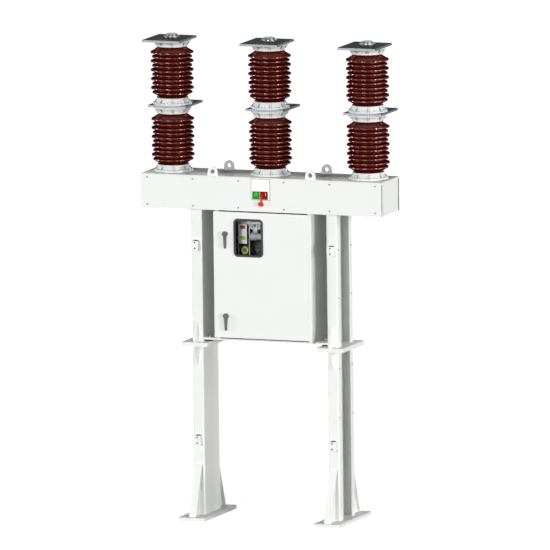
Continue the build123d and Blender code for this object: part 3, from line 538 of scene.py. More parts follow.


# Lifting eyes: four plates with an eye, flame cut and welded to the top plate, coated with the housing.
# The rear pair is painted grey: painted shade, as it stands behind the poles.
REAR_SHADE_HALF = 50 * MM
EYE_DRIFT = 40 * MM
grey_coat, tree = start_material("white_powder_coat_painted_rear_shade")
place = add_node(tree, "ShaderNodeTexCoord").outputs["Object"]
depth = add_node(tree, "ShaderNodeSeparateXYZ", None, {"Vector": place}).outputs["Y"]
drift = add_node(
    tree, "ShaderNodeTexNoise", {"Scale": 1 / EYE_DRIFT, "Detail": 4.0}, {"Vector": place}
).outputs["Fac"]
rear_shade = add_node(
    tree,
    "ShaderNodeMapRange",
    {"From Min": -REAR_SHADE_HALF, "From Max": REAR_SHADE_HALF},
    {"Value": depth},
).outputs[0]
grey = add_node(
    tree,
    "ShaderNodeMix",
    {"data_type": "RGBA", 6: linear("#bcbebe"), 7: linear("#acaeae")},
    {0: drift},
).outputs[2]
# Painted shade: the eyes behind the middle of the housing turn grey.
colour = add_node(
    tree, "ShaderNodeMix", {"data_type": "RGBA", 6: linear(COAT_WHITE)}, {0: rear_shade, 7: grey}
).outputs[2]
coat = add_node(
    tree,
    "ShaderNodeBsdfPrincipled",
    {"Specular IOR Level": COAT_SHINE, "Roughness": 0.45},
    {"Base Color": colour},
)
add_node(tree, "ShaderNodeOutputMaterial", None, {"Surface": coat.outputs[0]})
finish_nodes(grey_coat, "lifting_eyes")


# Cover screws: zinc plated pan head screws along the upper and lower edge of both covers,
# driven through the sheet into the housing. The zinc has weathered to a dull dark grey.
dull_zinc = bare_metal("weathered_zinc_plate", "#8b8e90", "#66696b", 0.35, 0.5, 5 * MM, 0.04 * MM)
SCREW_COLUMNS = (886 * MM, 532 * MM, 177 * MM)
SCREW_ROWS = (2502 * MM, 2305 * MM)
SCREW_SIZES = (5.5 * MM, 4 * MM, 6.5 * MM, 0.8 * MM)
SCREW_SIDES = 20
cover_faces = ((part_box("front_cover")[0].y, -1), (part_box("rear_cover")[1].y, 1))
set_fasteners(
    "cover_screws",
    dull_zinc,
    [
        (Vector((side * x, y, z)), Vector((0, facing, 0)))
        for y, facing in cover_faces
        for x in SCREW_COLUMNS
        for side in (-1, 1)
        for z in SCREW_ROWS
    ],
    SCREW_SIZES,
    SCREW_SIDES,
)


# Cover seals: black rubber beads in the seam between each cover and the end plates, extruded with a
# low half round back and pressed in; their black is painted shade, a dark line up each corner of the
# housing's ends.
# Black rubber whose black is painted shade along the seams.
seam_shade_rubber = plain_gloss(
    "black_rubber_painted_seam_shade", "#2b2d2e", "#1f2122", 0.5, 0.65, 20 * MM, shine=0.2
)
SEAL_PROUD = 1.5 * MM
SEAL_INSET = 1 * MM
FRONT_SEAL = 13 * MM
REAR_SEAL = 17 * MM
BEAD_STEPS = 8


def seal_bead(name, x, side, front, rear, low, high):
    """An upright bead on an end face, from front to rear in depth and from low to high."""
    outline = []
    for step in range(BEAD_STEPS + 1):
        angle = math.pi * step / BEAD_STEPS
        y = (front + rear) / 2 - (rear - front) / 2 * math.cos(angle)
        outline.append((x + side * SEAL_PROUD * (math.sin(angle) - SUNK_SHARE), y))
    foot, head = ([(*point, z) for point in outline] for z in (low, high))
    add_piece(name, prism(foot, head), seam_shade_rubber)


front_low, front_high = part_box("front_cover")
rear_low, rear_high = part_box("rear_cover")
for side, hand in ((-1, "left"), (1, "right")):
    seal_bead(
        hand + "_front_seal",
        side * front_high.x,
        side,
        front_low.y + SEAL_INSET,
        front_low.y + SEAL_INSET + FRONT_SEAL,
        front_low.z + SEAL_INSET,
        front_high.z - SEAL_INSET,
    )
    seal_bead(
        hand + "_rear_seal",
        side * rear_high.x,
        side,
        rear_high.y - SEAL_INSET - REAR_SEAL,
        rear_high.y - SEAL_INSET,
        rear_low.z + SEAL_INSET,
        rear_high.z - SEAL_INSET,
    )


# Flanges: sand cast aluminium caps cemented to the ends of each insulator, with ribs round the cone.
# Blasted and lacquered silver, so they are pale and softly shiny, with a slow drift of shade and a
# line of painted shade in the corner along each side of a rib.
POLE_SPACING = 760 * MM
POLES = {"left": -POLE_SPACING, "centre": 0.0, "right": POLE_SPACING}
RIB_COUNT = 8
RIB_STEP = math.tau / RIB_COUNT
RIB_HALF = 4.4 * MM
RIB_SHADE_REACH = 8.5 * MM
LACQUER_DRIFT = 14 * MM
cast_aluminium, tree = start_material("silver_lacquered_cast_aluminium")
place = add_node(tree, "ShaderNodeTexCoord").outputs["Object"]
drift = add_node(
    tree, "ShaderNodeTexNoise", {"Scale": 1 / LACQUER_DRIFT, "Detail": 4.0}, {"Vector": place}
).outputs["Fac"]
parted = add_node(tree, "ShaderNodeSeparateXYZ", None, {"Vector": place}).outputs
across = add_node(
    tree,
    "ShaderNodeMath",
    {"operation": "WRAP", 1: POLE_SPACING / 2, 2: -POLE_SPACING / 2},
    {0: parted["X"]},
).outputs[0]
angle = add_node(
    tree, "ShaderNodeMath", {"operation": "ARCTAN2"}, {0: parted["Y"], 1: across}
).outputs[0]
folded = add_node(
    tree, "ShaderNodeMath", {"operation": "WRAP", 1: RIB_STEP, 2: 0.0}, {0: angle}
).outputs[0]
from_rib = add_node(
    tree, "ShaderNodeMath", {"operation": "SUBTRACT", 1: RIB_STEP / 2}, {0: folded}
).outputs[0]
sine = add_node(tree, "ShaderNodeMath", {"operation": "SINE"}, {0: from_rib}).outputs[0]
flat = add_node(tree, "ShaderNodeCombineXYZ", None, {"X": across, "Y": parted["Y"]}).outputs[0]
radius = add_node(tree, "ShaderNodeVectorMath", {"operation": "LENGTH"}, {0: flat}).outputs["Value"]
sideways = add_node(tree, "ShaderNodeMath", {"operation": "MULTIPLY"}, {0: sine, 1: radius}).outputs[0]
distance = add_node(tree, "ShaderNodeMath", {"operation": "ABSOLUTE"}, {0: sideways}).outputs[0]
near = add_node(
    tree, "ShaderNodeMapRange", {"From Min": RIB_SHADE_REACH, "From Max": RIB_HALF}, {"Value": distance}
).outputs[0]
beside = add_node(
    tree, "ShaderNodeMath", {"operation": "GREATER_THAN", 1: RIB_HALF}, {0: distance}
).outputs[0]
rib_shade = add_node(tree, "ShaderNodeMath", {"operation": "MULTIPLY"}, {0: near, 1: beside}).outputs[0]
silver = add_node(
    tree,
    "ShaderNodeMix",
    {"data_type": "RGBA", 6: linear("#cacccb"), 7: linear("#dbdddc")},
    {0: drift},
).outputs[2]
# Painted shade: a darker line in the corner along each side of a rib.
colour = add_node(
    tree, "ShaderNodeMix", {"data_type": "RGBA", 7: linear("#747776")}, {0: rib_shade, 6: silver}
).outputs[2]
gloss = add_node(
    tree, "ShaderNodeMapRange", {"To Min": 0.5, "To Max": 0.62}, {"Value": drift}
).outputs[0]
surface = add_node(
    tree,
    "ShaderNodeBsdfPrincipled",
    {"Specular IOR Level": 0.2},
    {"Base Color": colour, "Roughness": gloss},
)
add_node(tree, "ShaderNodeOutputMaterial", None, {"Surface": surface.outputs[0]})
for pole in POLES:
    finish_nodes(cast_aluminium, pole + "_flanges")


# Insulators: porcelain bodies turned on a lathe, with sheds of two sizes by turns, glazed red brown
# and fired. The sheds have blunt rims, and the end ones slope to the necks that sit in the flanges.
NECK_RADIUS = 97 * MM
CORE_RADIUS = 107 * MM
SMALL_REACH = 147 * MM
LARGE_REACH = 157 * MM
SHED_SPACING = 32.75 * MM
FIRST_SHED = 48 * MM
NECK_HEIGHT = 15 * MM
INSULATOR_HEIGHT = 398 * MM
RIM_HALF = 6 * MM
RIM_TILT = 0.22
RIM_BLUNT = 4
RIM_STEPS = (-1.0, -0.97, -0.9, -0.75, -0.55, -0.3, 0.0, 0.3, 0.55, 0.75, 0.9, 0.97, 1.0)
HOLLOW_MM = ((4.6, 11.8), (1.3, 13.0), (0.0, 15.1), (1.3, 17.2), (4.6, 18.4))
SHED_PAIRS = 4
SHED_TURNS = 96
SEAM_GAP = 0.05 * MM


def shed_rim(reach, level):
    """The blunt rim of a shed, tilted slightly up, from its lower edge on, as radius and height."""
    points = []
    for step in RIM_STEPS:
        out = (1 - abs(step) ** RIM_BLUNT) ** (1 / RIM_BLUNT) - 1 - RIM_TILT * (1 + step) / 2
        points.append((reach + RIM_HALF * out, level + RIM_HALF * step))
    return points


def hollow(level, first, last):
    """Part of the hollow over the shed at the given level, as radius and height."""
    return [(CORE_RADIUS + out * MM, level + rise * MM) for out, rise in HOLLOW_MM[first:last]]


def turn_profile(shape, profile, turns, axis=0.0, closed=False):
    """Turn a profile of radius and height about an upright axis at x; gives its rings of vertices."""
    rings = []
    for radius, height in profile:
        ring = []
        for turn in range(turns):
            angle = math.tau * turn / turns
            point = (axis + radius * math.cos(angle), radius * math.sin(angle), height)
            ring.append(shape.verts.new(point))
        rings.append(ring)
    for lower, upper in zip(rings, rings[1:] + rings[:1] if closed else rings[1:]):
        for turn in range(turns):
            after = (turn + 1) % turns
            shape.faces.new((lower[turn], lower[after], upper[after], upper[turn]))
    return rings


def shed_meshes():
    """The foot shed, a large and a small shed that repeat, and the head shed, in one mesh."""
    large = FIRST_SHED + SHED_SPACING
    small = large + SHED_SPACING
    head = FIRST_SHED + (2 * SHED_PAIRS + 1) * SHED_SPACING
    foot_profile = (
        [(NECK_RADIUS, 0.0), (NECK_RADIUS, NECK_HEIGHT)]
        + shed_rim(SMALL_REACH, FIRST_SHED)
        + hollow(FIRST_SHED, 0, 3)
    )
    pair_profile = (
        hollow(FIRST_SHED, 2, 5)
        + shed_rim(LARGE_REACH, large)
        + hollow(large, 0, 5)
        + shed_rim(SMALL_REACH, small)
        + hollow(small, 0, 3)
    )
    head_profile = (
        hollow(head - SHED_SPACING, 2, 5)
        + shed_rim(LARGE_REACH, head)
        + [(NECK_RADIUS, INSULATOR_HEIGHT - NECK_HEIGHT), (NECK_RADIUS, INSULATOR_HEIGHT)]
    )
    shape = bmesh.new()
    repeats = []
    ends = []
    for profile in (foot_profile, pair_profile, head_profile):
        rings = turn_profile(shape, profile, SHED_TURNS)
        repeats += [profile is pair_profile] * (len(profile) * SHED_TURNS)
        ends += [rings[0], rings[-1]]
    shape.faces.new(ends[0][::-1])
    shape.faces.new(ends[-1])
    mesh = bpy.data.meshes.new("sheds")
    shape.to_mesh(mesh)
    shape.free()
    mesh.attributes.new("repeats", "BOOLEAN", "POINT").data.foreach_set("value", repeats)
    reach = mesh.attributes.new("shed_reach", "FLOAT", "POINT")
    for item, vertex in zip(reach.data, mesh.vertices):
        item.value = max(0.0, (vertex.co.xy.length - CORE_RADIUS) / (LARGE_REACH - CORE_RADIUS))
    return mesh


def insulator_tree():
    """A tree that stacks the pairs of sheds between the end sheds and repeats the body by stages."""
    tree, identifiers, given = start_tree(
        "insulators",
        "Insulators",
        {
            "Sheds": "Geometry",
            "Pairs": "Int",
            "Pitch": "Float",
            "Stages": "Int",
            "Stage height": "Float",
            "Place": "Vector",
            "Material": "Material",
        },
    )
    repeats = add_node(
        tree, "GeometryNodeInputNamedAttribute", {"data_type": "BOOLEAN", "Name": "repeats"}
    ).outputs["Attribute"]
    parted = add_node(
        tree,
        "GeometryNodeSeparateGeometry",
        None,
        {"Geometry": given["Sheds"], "Selection": repeats},
    ).outputs
    pitch = add_node(tree, "ShaderNodeCombineXYZ", None, {"Z": given["Pitch"]}).outputs[0]
    levels = add_node(
        tree, "GeometryNodeMeshLine", None, {"Count": given["Pairs"], "Offset": pitch}
    ).outputs[0]
    stack = add_node(
        tree, "GeometryNodeInstanceOnPoints", None, {"Points": levels, "Instance": parted["Selection"]}
    ).outputs[0]
    joined = add_node(tree, "GeometryNodeJoinGeometry")
    for piece in (stack, parted["Inverted"]):
        tree.links.new(piece, joined.inputs[0])
    real = add_node(
        tree, "GeometryNodeRealizeInstances", None, {"Geometry": joined.outputs[0]}
    ).outputs[0]
    sealed = add_node(
        tree, "GeometryNodeMergeByDistance", {"Distance": SEAM_GAP}, {"Geometry": real}
    ).outputs[0]
    smooth = add_node(tree, "GeometryNodeSetShadeSmooth", None, {"Geometry": sealed}).outputs[0]
    stage_step = add_node(tree, "ShaderNodeCombineXYZ", None, {"Z": given["Stage height"]}).outputs[0]
    stages = add_node(
        tree,
        "GeometryNodeMeshLine",
        None,
        {"Count": given["Stages"], "Start Location": given["Place"], "Offset": stage_step},
    ).outputs[0]
    bodies = add_node(
        tree, "GeometryNodeInstanceOnPoints", None, {"Points": stages, "Instance": smooth}
    ).outputs[0]
    finish_tree(tree, bodies, given["Material"])
    return tree, identifiers


# Glazed porcelain: a fired red brown glass over a pale body. It gives crisp wet highlights on the
# rims, a warmer and lighter tone on the rims where the glaze runs thin and a darker one in the hollows,
# which is also painted light and shade between the sheds, slow clouds of darker brown, and, where it is
# seen at a slant, the deep colour of the body instead of the sky.
GLAZE_CLOUD = 70 * MM
GLAZE_RIPPLE = 25 * MM
red_brown_glaze, tree = start_material("red_brown_glazed_porcelain")
place = add_node(tree, "ShaderNodeTexCoord").outputs["Object"]
reach = add_node(tree, "ShaderNodeAttribute", {"attribute_name": "shed_reach"}).outputs["Fac"]
cloud = add_node(
    tree, "ShaderNodeTexNoise", {"Scale": 1 / GLAZE_CLOUD, "Detail": 4.0}, {"Vector": place}
).outputs["Fac"]
ripple = add_node(
    tree, "ShaderNodeTexNoise", {"Scale": 1 / GLAZE_RIPPLE, "Detail": 1.0}, {"Vector": place}
).outputs["Fac"]
# Rims lighter and hollows darker: thin glaze at the rims, and partly painted light and shade between
# the sheds.
thin_glaze_and_shed_shade = add_node(
    tree, "ShaderNodeMapRange", {"From Min": 0.35, "From Max": 1.0, "To Max": 0.85}, {"Value": reach}
).outputs[0]
deep = add_node(
    tree,
    "ShaderNodeMix",
    {"data_type": "RGBA", 6: linear("#380803"), 7: linear("#4a0e07")},
    {0: cloud},
).outputs[2]
glaze = add_node(
    tree, "ShaderNodeMix", {"data_type": "RGBA", 7: linear("#5e1208")}, {0: thin_glaze_and_shed_shade, 6: deep}
).outputs[2]
wet = add_node(
    tree, "ShaderNodeMapRange", {"To Min": 0.06, "To Max": 0.12}, {"Value": cloud}
).outputs[0]
flow = add_node(
    tree, "ShaderNodeBump", {"Strength": 0.15, "Distance": 0.3 * MM}, {"Height": ripple}
).outputs[0]
gloss = add_node(
    tree,
    "ShaderNodeBsdfPrincipled",
    {"IOR": 1.5, "Specular IOR Level": 0.42, "Specular Tint": linear("#ffd0c0")},
    {"Base Color": glaze, "Roughness": wet, "Normal": flow},
)
body = add_node(
    tree,
    "ShaderNodeBsdfPrincipled",
    {"IOR": 1.5, "Specular IOR Level": 0.0, "Roughness": 0.5},
    {"Base Color": glaze},
)
slant = add_node(tree, "ShaderNodeLayerWeight", {"Blend": 0.5}).outputs["Facing"]
deepened = add_node(
    tree, "ShaderNodeMapRange", {"From Min": 0.4, "From Max": 0.7}, {"Value": slant}
).outputs[0]
surface = add_node(
    tree, "ShaderNodeMixShader", None, {0: deepened, 1: gloss.outputs[0], 2: body.outputs[0]}
)
add_node(tree, "ShaderNodeOutputMaterial", None, {"Surface": surface.outputs[0]})

insulators, insulator_inputs = insulator_tree()
STAGES = 2
STAGE_HEIGHT = 490 * MM
for pole, x in POLES.items():
    made = new_object(pole + "_porcelain", shed_meshes())
    values = {
        "Pairs": SHED_PAIRS,
        "Pitch": 2 * SHED_SPACING,
        "Stages": STAGES,
        "Stage height": STAGE_HEIGHT,
        "Place": (x, 0.0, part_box(pole + "_insulators")[0].z),
        "Material": red_brown_glaze,
    }
    grow(made, insulators, insulator_inputs, values)
    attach(made, "stand")
    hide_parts(pole + "_insulators")


# Joint rings: bitumen compound poured into the mouth of each flange, over the cement that holds the
# porcelain. It sets dull black, climbs a little up the neck and laps over the flange's rim.
bitumen = plain_gloss("black_bitumen_compound", "#1d1d1c", "#131313", 0.45, 0.6, 10 * MM, shine=0.2)
JOINT_PROFILE_MM = (
    (96.0, -8.0),
    (108.5, -8.0),
    (108.5, -0.4),
    (115.5, -0.4),
    (115.5, 0.3),
    (113.5, 0.7),
    (104.0, 0.9),
    (99.0, 1.6),
    (96.0, 3.5),
)
JOINT_TURNS = 64
FLANGE_HEIGHT = 50 * MM
TERMINAL_THICK = 16 * MM
housing_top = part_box("housing_top")[1].z
stages = []
for stage in range(STAGES):
    foot = housing_top + stage * STAGE_HEIGHT
    stages.append((foot, foot + STAGE_HEIGHT - TERMINAL_THICK))
for pole, x in POLES.items():
    shape = bmesh.new()
    for foot, head in stages:
        for level, way in ((foot + FLANGE_HEIGHT, 1), (head - FLANGE_HEIGHT, -1)):
            profile = [(radius * MM, level + way * rise * MM) for radius, rise in JOINT_PROFILE_MM]
            turn_profile(shape, profile, JOINT_TURNS, x, closed=True)
    add_piece(pole + "_joint_rings", shape, bitumen)


# Flange bolts: hexagon bolts on the ring of each flange, one between each two ribs, which hold the
# flange to the housing or to a terminal plate. They are lacquered over together with the flange.
FLANGE_BOLT_CIRCLE = 132.5 * MM
FLANGE_BOLT_SIZES = (6.4 * MM, 6 * MM, 6.8 * MM, 1.2 * MM)
RING_THICK = 14 * MM


def bolt_circle(x, radius, level, count, way=1):
    """Places of bolts on a circle round a pole's axis, facing up or down."""
    places = []
    for index in range(count):
        angle = math.tau * index / count
        point = Vector((x + radius * math.cos(angle), radius * math.sin(angle), level))
        places.append((point, Vector((0, 0, way))))
    return places


bolt_places = []
for x in POLES.values():
    for foot, head in stages:
        bolt_places += bolt_circle(x, FLANGE_BOLT_CIRCLE, foot + RING_THICK, RIB_COUNT)
        bolt_places += bolt_circle(x, FLANGE_BOLT_CIRCLE, head - RING_THICK, RIB_COUNT, -1)
set_fasteners("flange_bolts", cast_aluminium, bolt_places, FLANGE_BOLT_SIZES)


# Terminals: thick aluminium plates clamped between the flanges, with four holes for the line's lug.
# Sawn and milled edges stay bright, and the broad level faces are painted dark, a painted dark
# reflection, in blotches of tone. The cutter's strokes, about 0.5 mm apart, are drawn 4 mm wide so that
# they show.
BLOTCH = 45 * MM
STROKE_LENGTH = 120 * MM
STROKES_ACROSS = 30.0
milled_aluminium, tree = start_material("milled_aluminium_painted_dark_faces")
coords = add_node(tree, "ShaderNodeTexCoord").outputs
blotch = add_node(
    tree, "ShaderNodeTexNoise", {"Scale": 1 / BLOTCH, "Detail": 6.0}, {"Vector": coords["Object"]}
).outputs["Fac"]
stretched = add_node(
    tree,
    "ShaderNodeMapping",
    {"Scale": (1.0, STROKES_ACROSS, STROKES_ACROSS)},
    {"Vector": coords["Object"]},
).outputs[0]
strokes = add_node(
    tree, "ShaderNodeTexNoise", {"Scale": 1 / STROKE_LENGTH, "Detail": 3.0}, {"Vector": stretched}
).outputs["Fac"]
up = add_node(tree, "ShaderNodeSeparateXYZ", None, {"Vector": coords["Normal"]}).outputs["Z"]
level_face = add_node(tree, "ShaderNodeMath", {"operation": "ABSOLUTE"}, {0: up}).outputs[0]
broad = add_node(
    tree, "ShaderNodeMapRange", {"From Min": 0.5, "From Max": 0.9}, {"Value": level_face}
).outputs[0]
dark_face_tone = add_node(
    tree,
    "ShaderNodeMix",
    {"data_type": "RGBA", 6: linear("#303132"), 7: linear("#5c5e5f")},
    {0: blotch},
).outputs[2]
# Painted reflection: the level faces are darker than the upright edges.
metal_colour = add_node(
    tree, "ShaderNodeMix", {"data_type": "RGBA", 6: linear("#85888a")}, {0: broad, 7: dark_face_tone}
).outputs[2]
worn = add_node(
    tree, "ShaderNodeMapRange", {"To Min": 0.3, "To Max": 0.5}, {"Value": blotch}
).outputs[0]
cut = add_node(
    tree, "ShaderNodeBump", {"Strength": 0.3, "Distance": 0.1 * MM}, {"Height": strokes}
).outputs[0]
surface = add_node(
    tree,
    "ShaderNodeBsdfPrincipled",
    {"Metallic": 1.0, "Specular Tint": linear("#8c8c8c")},
    {"Base Color": metal_colour, "Roughness": worn, "Normal": cut},
)
add_node(tree, "ShaderNodeOutputMaterial", None, {"Surface": surface.outputs[0]})
for pole in POLES:
    finish_nodes(milled_aluminium, pole + "_middle_terminal", pole + "_top_terminal")


# Top caps: turned aluminium caps that close the head of each pole, each a drum with a foot flange
# held by six hexagon bolts on the terminal plate. The lathe leaves a soft grey shine and a raised rim.
turned_aluminium = bare_metal(
    "turned_aluminium", "#94979a", "#6f7275", 0.2, 0.32, 12 * MM, 0.02 * MM
)
CAP_HEIGHT = 24 * MM
CAP_PROFILE_MM = (
    (59.4, 0.3),
    (59.4, 4.8),
    (57.4, 6.5),
    (40.4, 6.5),
    (40.4, 22.6),
    (37.6, 25.2),
    (31.0, 25.2),
    (30.0, 24.3),
)
CAP_TURNS = 64
CAP_FLANGE = 6.5 * MM
CAP_BOLT_CIRCLE = 50 * MM
CAP_BOLT_COUNT = 6
CAP_BOLT_SIZES = (6 * MM, 6 * MM, 6.6 * MM, 1 * MM)
plate_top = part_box("centre_top_terminal")[1].z - CAP_HEIGHT
cap_bolt_places = []
for pole, x in POLES.items():
    shape = bmesh.new()
    profile = [(radius * MM, plate_top + height * MM) for radius, height in CAP_PROFILE_MM]
    inmost = turn_profile(shape, profile, CAP_TURNS, x)[-1]
    centre = shape.verts.new((x, 0.0, profile[-1][1]))
    for turn in range(CAP_TURNS):
        shape.faces.new((centre, inmost[turn], inmost[(turn + 1) % CAP_TURNS]))
    add_piece(pole + "_top_cap", shape, turned_aluminium)
    cap_bolt_places += bolt_circle(x, CAP_BOLT_CIRCLE, plate_top + CAP_FLANGE, CAP_BOLT_COUNT)
set_fasteners("cap_bolts", dull_zinc, cap_bolt_places, CAP_BOLT_SIZES)


# Cabinet: a folded sheet steel box between the legs, with a pan door on two pin hinges. Outside, the
# hinge brackets too, it has the white powder coat of the stand; inside it is black, as painted shade.
HALF_SHEET = 1 * MM
SHELL = ("cabinet_walls", "cabinet_floor", "cabinet_roof", "cabinet_back")
shell_boxes = [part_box(name) for name in SHELL]
shell_low = Vector([min(box[0][axis] for box in shell_boxes) for axis in range(3)])
shell_high = Vector([max(box[1][axis] for box in shell_boxes) for axis in range(3)])
cabinet_coat, tree = start_material("white_powder_coat_painted_shade_inside")
place = add_node(tree, "ShaderNodeTexCoord").outputs["Object"]
drift = add_node(
    tree, "ShaderNodeTexNoise", {"Scale": 1 / COAT_DRIFT, "Detail": 3.0}, {"Vector": place}
).outputs["Fac"]
offset = add_node(
    tree,
    "ShaderNodeVectorMath",
    {"operation": "SUBTRACT", 1: (shell_low + shell_high) / 2},
    {0: place},
).outputs[0]
spread = add_node(tree, "ShaderNodeVectorMath", {"operation": "ABSOLUTE"}, {0: offset}).outputs[0]
beyond = add_node(
    tree,
    "ShaderNodeVectorMath",
    {"operation": "SUBTRACT", 1: (shell_high - shell_low) / 2 - Vector((HALF_SHEET,) * 3)},
    {0: spread},
).outputs[0]
sides = add_node(tree, "ShaderNodeSeparateXYZ", None, {"Vector": beyond}).outputs
most = sides["X"]
for side in (sides["Y"], sides["Z"]):
    most = add_node(tree, "ShaderNodeMath", {"operation": "MAXIMUM"}, {0: most, 1: side}).outputs[0]
outside = add_node(
    tree, "ShaderNodeMath", {"operation": "GREATER_THAN", 1: 0.0}, {0: most}
).outputs[0]
white = add_node(
    tree,
    "ShaderNodeMix",
    {"data_type": "RGBA", 6: linear(COAT_WHITE), 7: linear(COAT_SHADE)},
    {0: drift},
).outputs[2]
# Painted shade: every face inside the shell is black.
colour = add_node(
    tree, "ShaderNodeMix", {"data_type": "RGBA", 6: linear("#191a1a")}, {0: outside, 7: white}
).outputs[2]
gloss = add_node(tree, "ShaderNodeMapRange", COAT_GLOSS, {"Value": drift}).outputs[0]
coat = add_node(
    tree,
    "ShaderNodeBsdfPrincipled",
    {"IOR": 1.5, "Specular IOR Level": COAT_SHINE},
    {"Base Color": colour, "Roughness": gloss},
)
add_node(tree, "ShaderNodeOutputMaterial", None, {"Surface": coat.outputs[0]})
finish_nodes(cabinet_coat, *SHELL)
finish_nodes(white_powder_coat, "hinge_brackets", "cabinet_door")


# Window: a moulded rubber profile pressed over the edge of the cut-out, with a pane of clear glass
# in its inner groove. The rubber is matt and slightly dusty; the glass is thin and clear, so it hardly
# bends what is behind it.
window_rubber = plain_gloss(
    "moulded_black_rubber", "#3a3b3b", "#2a2b2b", 0.55, 0.7, 15 * MM, shine=0.3
)
finish_nodes(window_rubber, "window_gasket")
window_pane, tree = start_material("clear_float_glass")
path = add_node(tree, "ShaderNodeLightPath").outputs
pane = add_node(
    tree,
    "ShaderNodeBsdfPrincipled",
    {"Base Color": linear("#f7f9f8"), "Roughness": 0.0, "IOR": 1.1, "Transmission Weight": 1.0},
)
clear = add_node(tree, "ShaderNodeBsdfTransparent", {"Color": linear("#f3f5f4")})
lets_through = add_node(
    tree,
    "ShaderNodeMath",
    {"operation": "MAXIMUM"},
    {0: path["Is Shadow Ray"], 1: path["Is Diffuse Ray"]},
).outputs[0]
surface = add_node(
    tree, "ShaderNodeMixShader", None, {0: lets_through, 1: pane.outputs[0], 2: clear.outputs[0]}
)
add_node(tree, "ShaderNodeOutputMaterial", None, {"Surface": surface.outputs[0]})
finish_nodes(window_pane, "window_glass")


# Handles: two zinc die castings, each a lever on a round head over a turned rosette, which work a
# latch tongue behind the door. Grey satin lacquer, with slow changes of shade from many hands.
grey_casting = plain_gloss(
    "grey_lacquered_zinc_casting", "#5c5e60", "#434547", 0.32, 0.45, 30 * MM, metallic=0.4
)
finish_nodes(grey_casting, "upper_handle", "lower_handle")
finish_nodes(zinc_plate, "handle_rosettes")


# Position indicator: a glossy white enamelled plate with a green field for open and a red one for
# closed, and a red lacquered pointer that turns in front of it. Each field has its plain printed mark,
# a ring or a bar, and a grey rubber border round the plate's edge is painted shade.
white_enamel = plain_gloss("white_vitreous_enamel", "#f6f6f4", "#f0f1f0", 0.18, 0.26, 40 * MM)
finish_nodes(white_enamel, "indicator_plate")
green_enamel = plain_gloss("green_enamel", "#109a1c", "#0c8416", 0.2, 0.3, 12 * MM, shine=0.1)
red_enamel = plain_gloss("red_enamel", "#9e1413", "#84100f", 0.2, 0.3, 12 * MM, shine=0.1)
edge_shade_rubber = plain_gloss("grey_rubber_painted_edge_shade", "#a6a8a8", "#969898", 0.5, 0.65, 15 * MM)
EDGE_SHOW = 5 * MM
EDGE_CORNER = 4 * MM
EDGE_THICK = 1.2 * MM
plate_low, plate_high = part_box("indicator_plate")
edge_outline = rounded_field(
    plate_low.x - EDGE_SHOW,
    plate_high.x + EDGE_SHOW,
    plate_low.z - EDGE_SHOW,
    plate_high.z + EDGE_SHOW,
    EDGE_CORNER,
)
# A grey rubber border as painted shade round the plate's edge.
flat_piece("indicator_seal", edge_shade_rubber, edge_outline, front_low.y, EDGE_THICK)
FIELD_LOW = 2371 * MM
FIELD_HIGH = 2431 * MM
FIELD_CORNER = 2 * MM
FIELD_THICK = 0.6 * MM
for name, material, left, right in (
    ("open_field", green_enamel, -67 * MM, -9 * MM),
    ("closed_field", red_enamel, -6 * MM, 55 * MM),
):
    outline = rounded_field(left, right, FIELD_LOW, FIELD_HIGH, FIELD_CORNER)
    flat_piece(name, material, outline, plate_low.y, FIELD_THICK)
pale_print = plain_gloss("pale_printed_enamel", "#cfe3cd", "#c4d8c2", 0.25, 0.35, 10 * MM)
MARK_THICK = 0.4 * MM
MARK_SUNK = MARK_THICK * SUNK_SHARE
RING_OUTER = 11 * MM
RING_INNER = 9 * MM
RING_TURNS = 40
field_front = plate_low.y - FIELD_THICK
ring_centre = Vector((-38 * MM, field_front, 2408 * MM))
shape = bmesh.new()
ring_profile = (
    (RING_OUTER, MARK_SUNK),
    (RING_OUTER, -MARK_THICK),
    (RING_INNER, -MARK_THICK),
    (RING_INNER, MARK_SUNK),
)
turn_profile(shape, ring_profile, RING_TURNS, closed=True)
for vertex in shape.verts:
    vertex.co = ring_centre + vertex.co.xzy
add_piece("open_mark", shape, pale_print)
bar_outline = rounded_field(36 * MM, 39 * MM, 2398 * MM, 2419 * MM, 1 * MM)
flat_piece("closed_mark", pale_print, bar_outline, field_front, MARK_THICK)
pointer_lacquer = plain_gloss(
    "red_gloss_lacquer", "#d0402c", "#bc3423", 0.22, 0.3, 20 * MM, shine=0.2
)
finish_nodes(pointer_lacquer, "position_pointer")


# Mechanism: the spring drive behind the window, on blackened steel plates with bright ground edges. It
# has a white label panel with printed fields, a yellow chromated cam with a dark hub and a black tyre,
# a blackened spring case, a grey enamelled motor and a slotted link in weathered zinc plate.
dark_steel = plain_gloss("blackened_steel", "#2a2b2c", "#1a1b1b", 0.4, 0.6, 25 * MM, metallic=0.5)
finish_nodes(dark_steel, "coil_spring")
EDGE_FRONT = -89 * MM
EDGE_BACK = -86 * MM
OXIDE_CLOUD = 25 * MM
frame_steel, tree = start_material("blackened_steel_with_ground_edges")
place = add_node(tree, "ShaderNodeTexCoord").outputs["Object"]
depth = add_node(tree, "ShaderNodeSeparateXYZ", None, {"Vector": place}).outputs["Y"]
cloud = add_node(
    tree, "ShaderNodeTexNoise", {"Scale": 1 / OXIDE_CLOUD, "Detail": 4.0}, {"Vector": place}
).outputs["Fac"]
ground = add_node(
    tree,
    "ShaderNodeMapRange",
    {"From Min": EDGE_BACK, "From Max": EDGE_FRONT},
    {"Value": depth},
).outputs[0]
black = add_node(
    tree,
    "ShaderNodeMix",
    {"data_type": "RGBA", 6: linear("#141515"), 7: linear("#252627")},
    {0: cloud},
).outputs[2]
colour = add_node(
    tree, "ShaderNodeMix", {"data_type": "RGBA", 7: linear("#b4b7b9")}, {0: ground, 6: black}
).outputs[2]
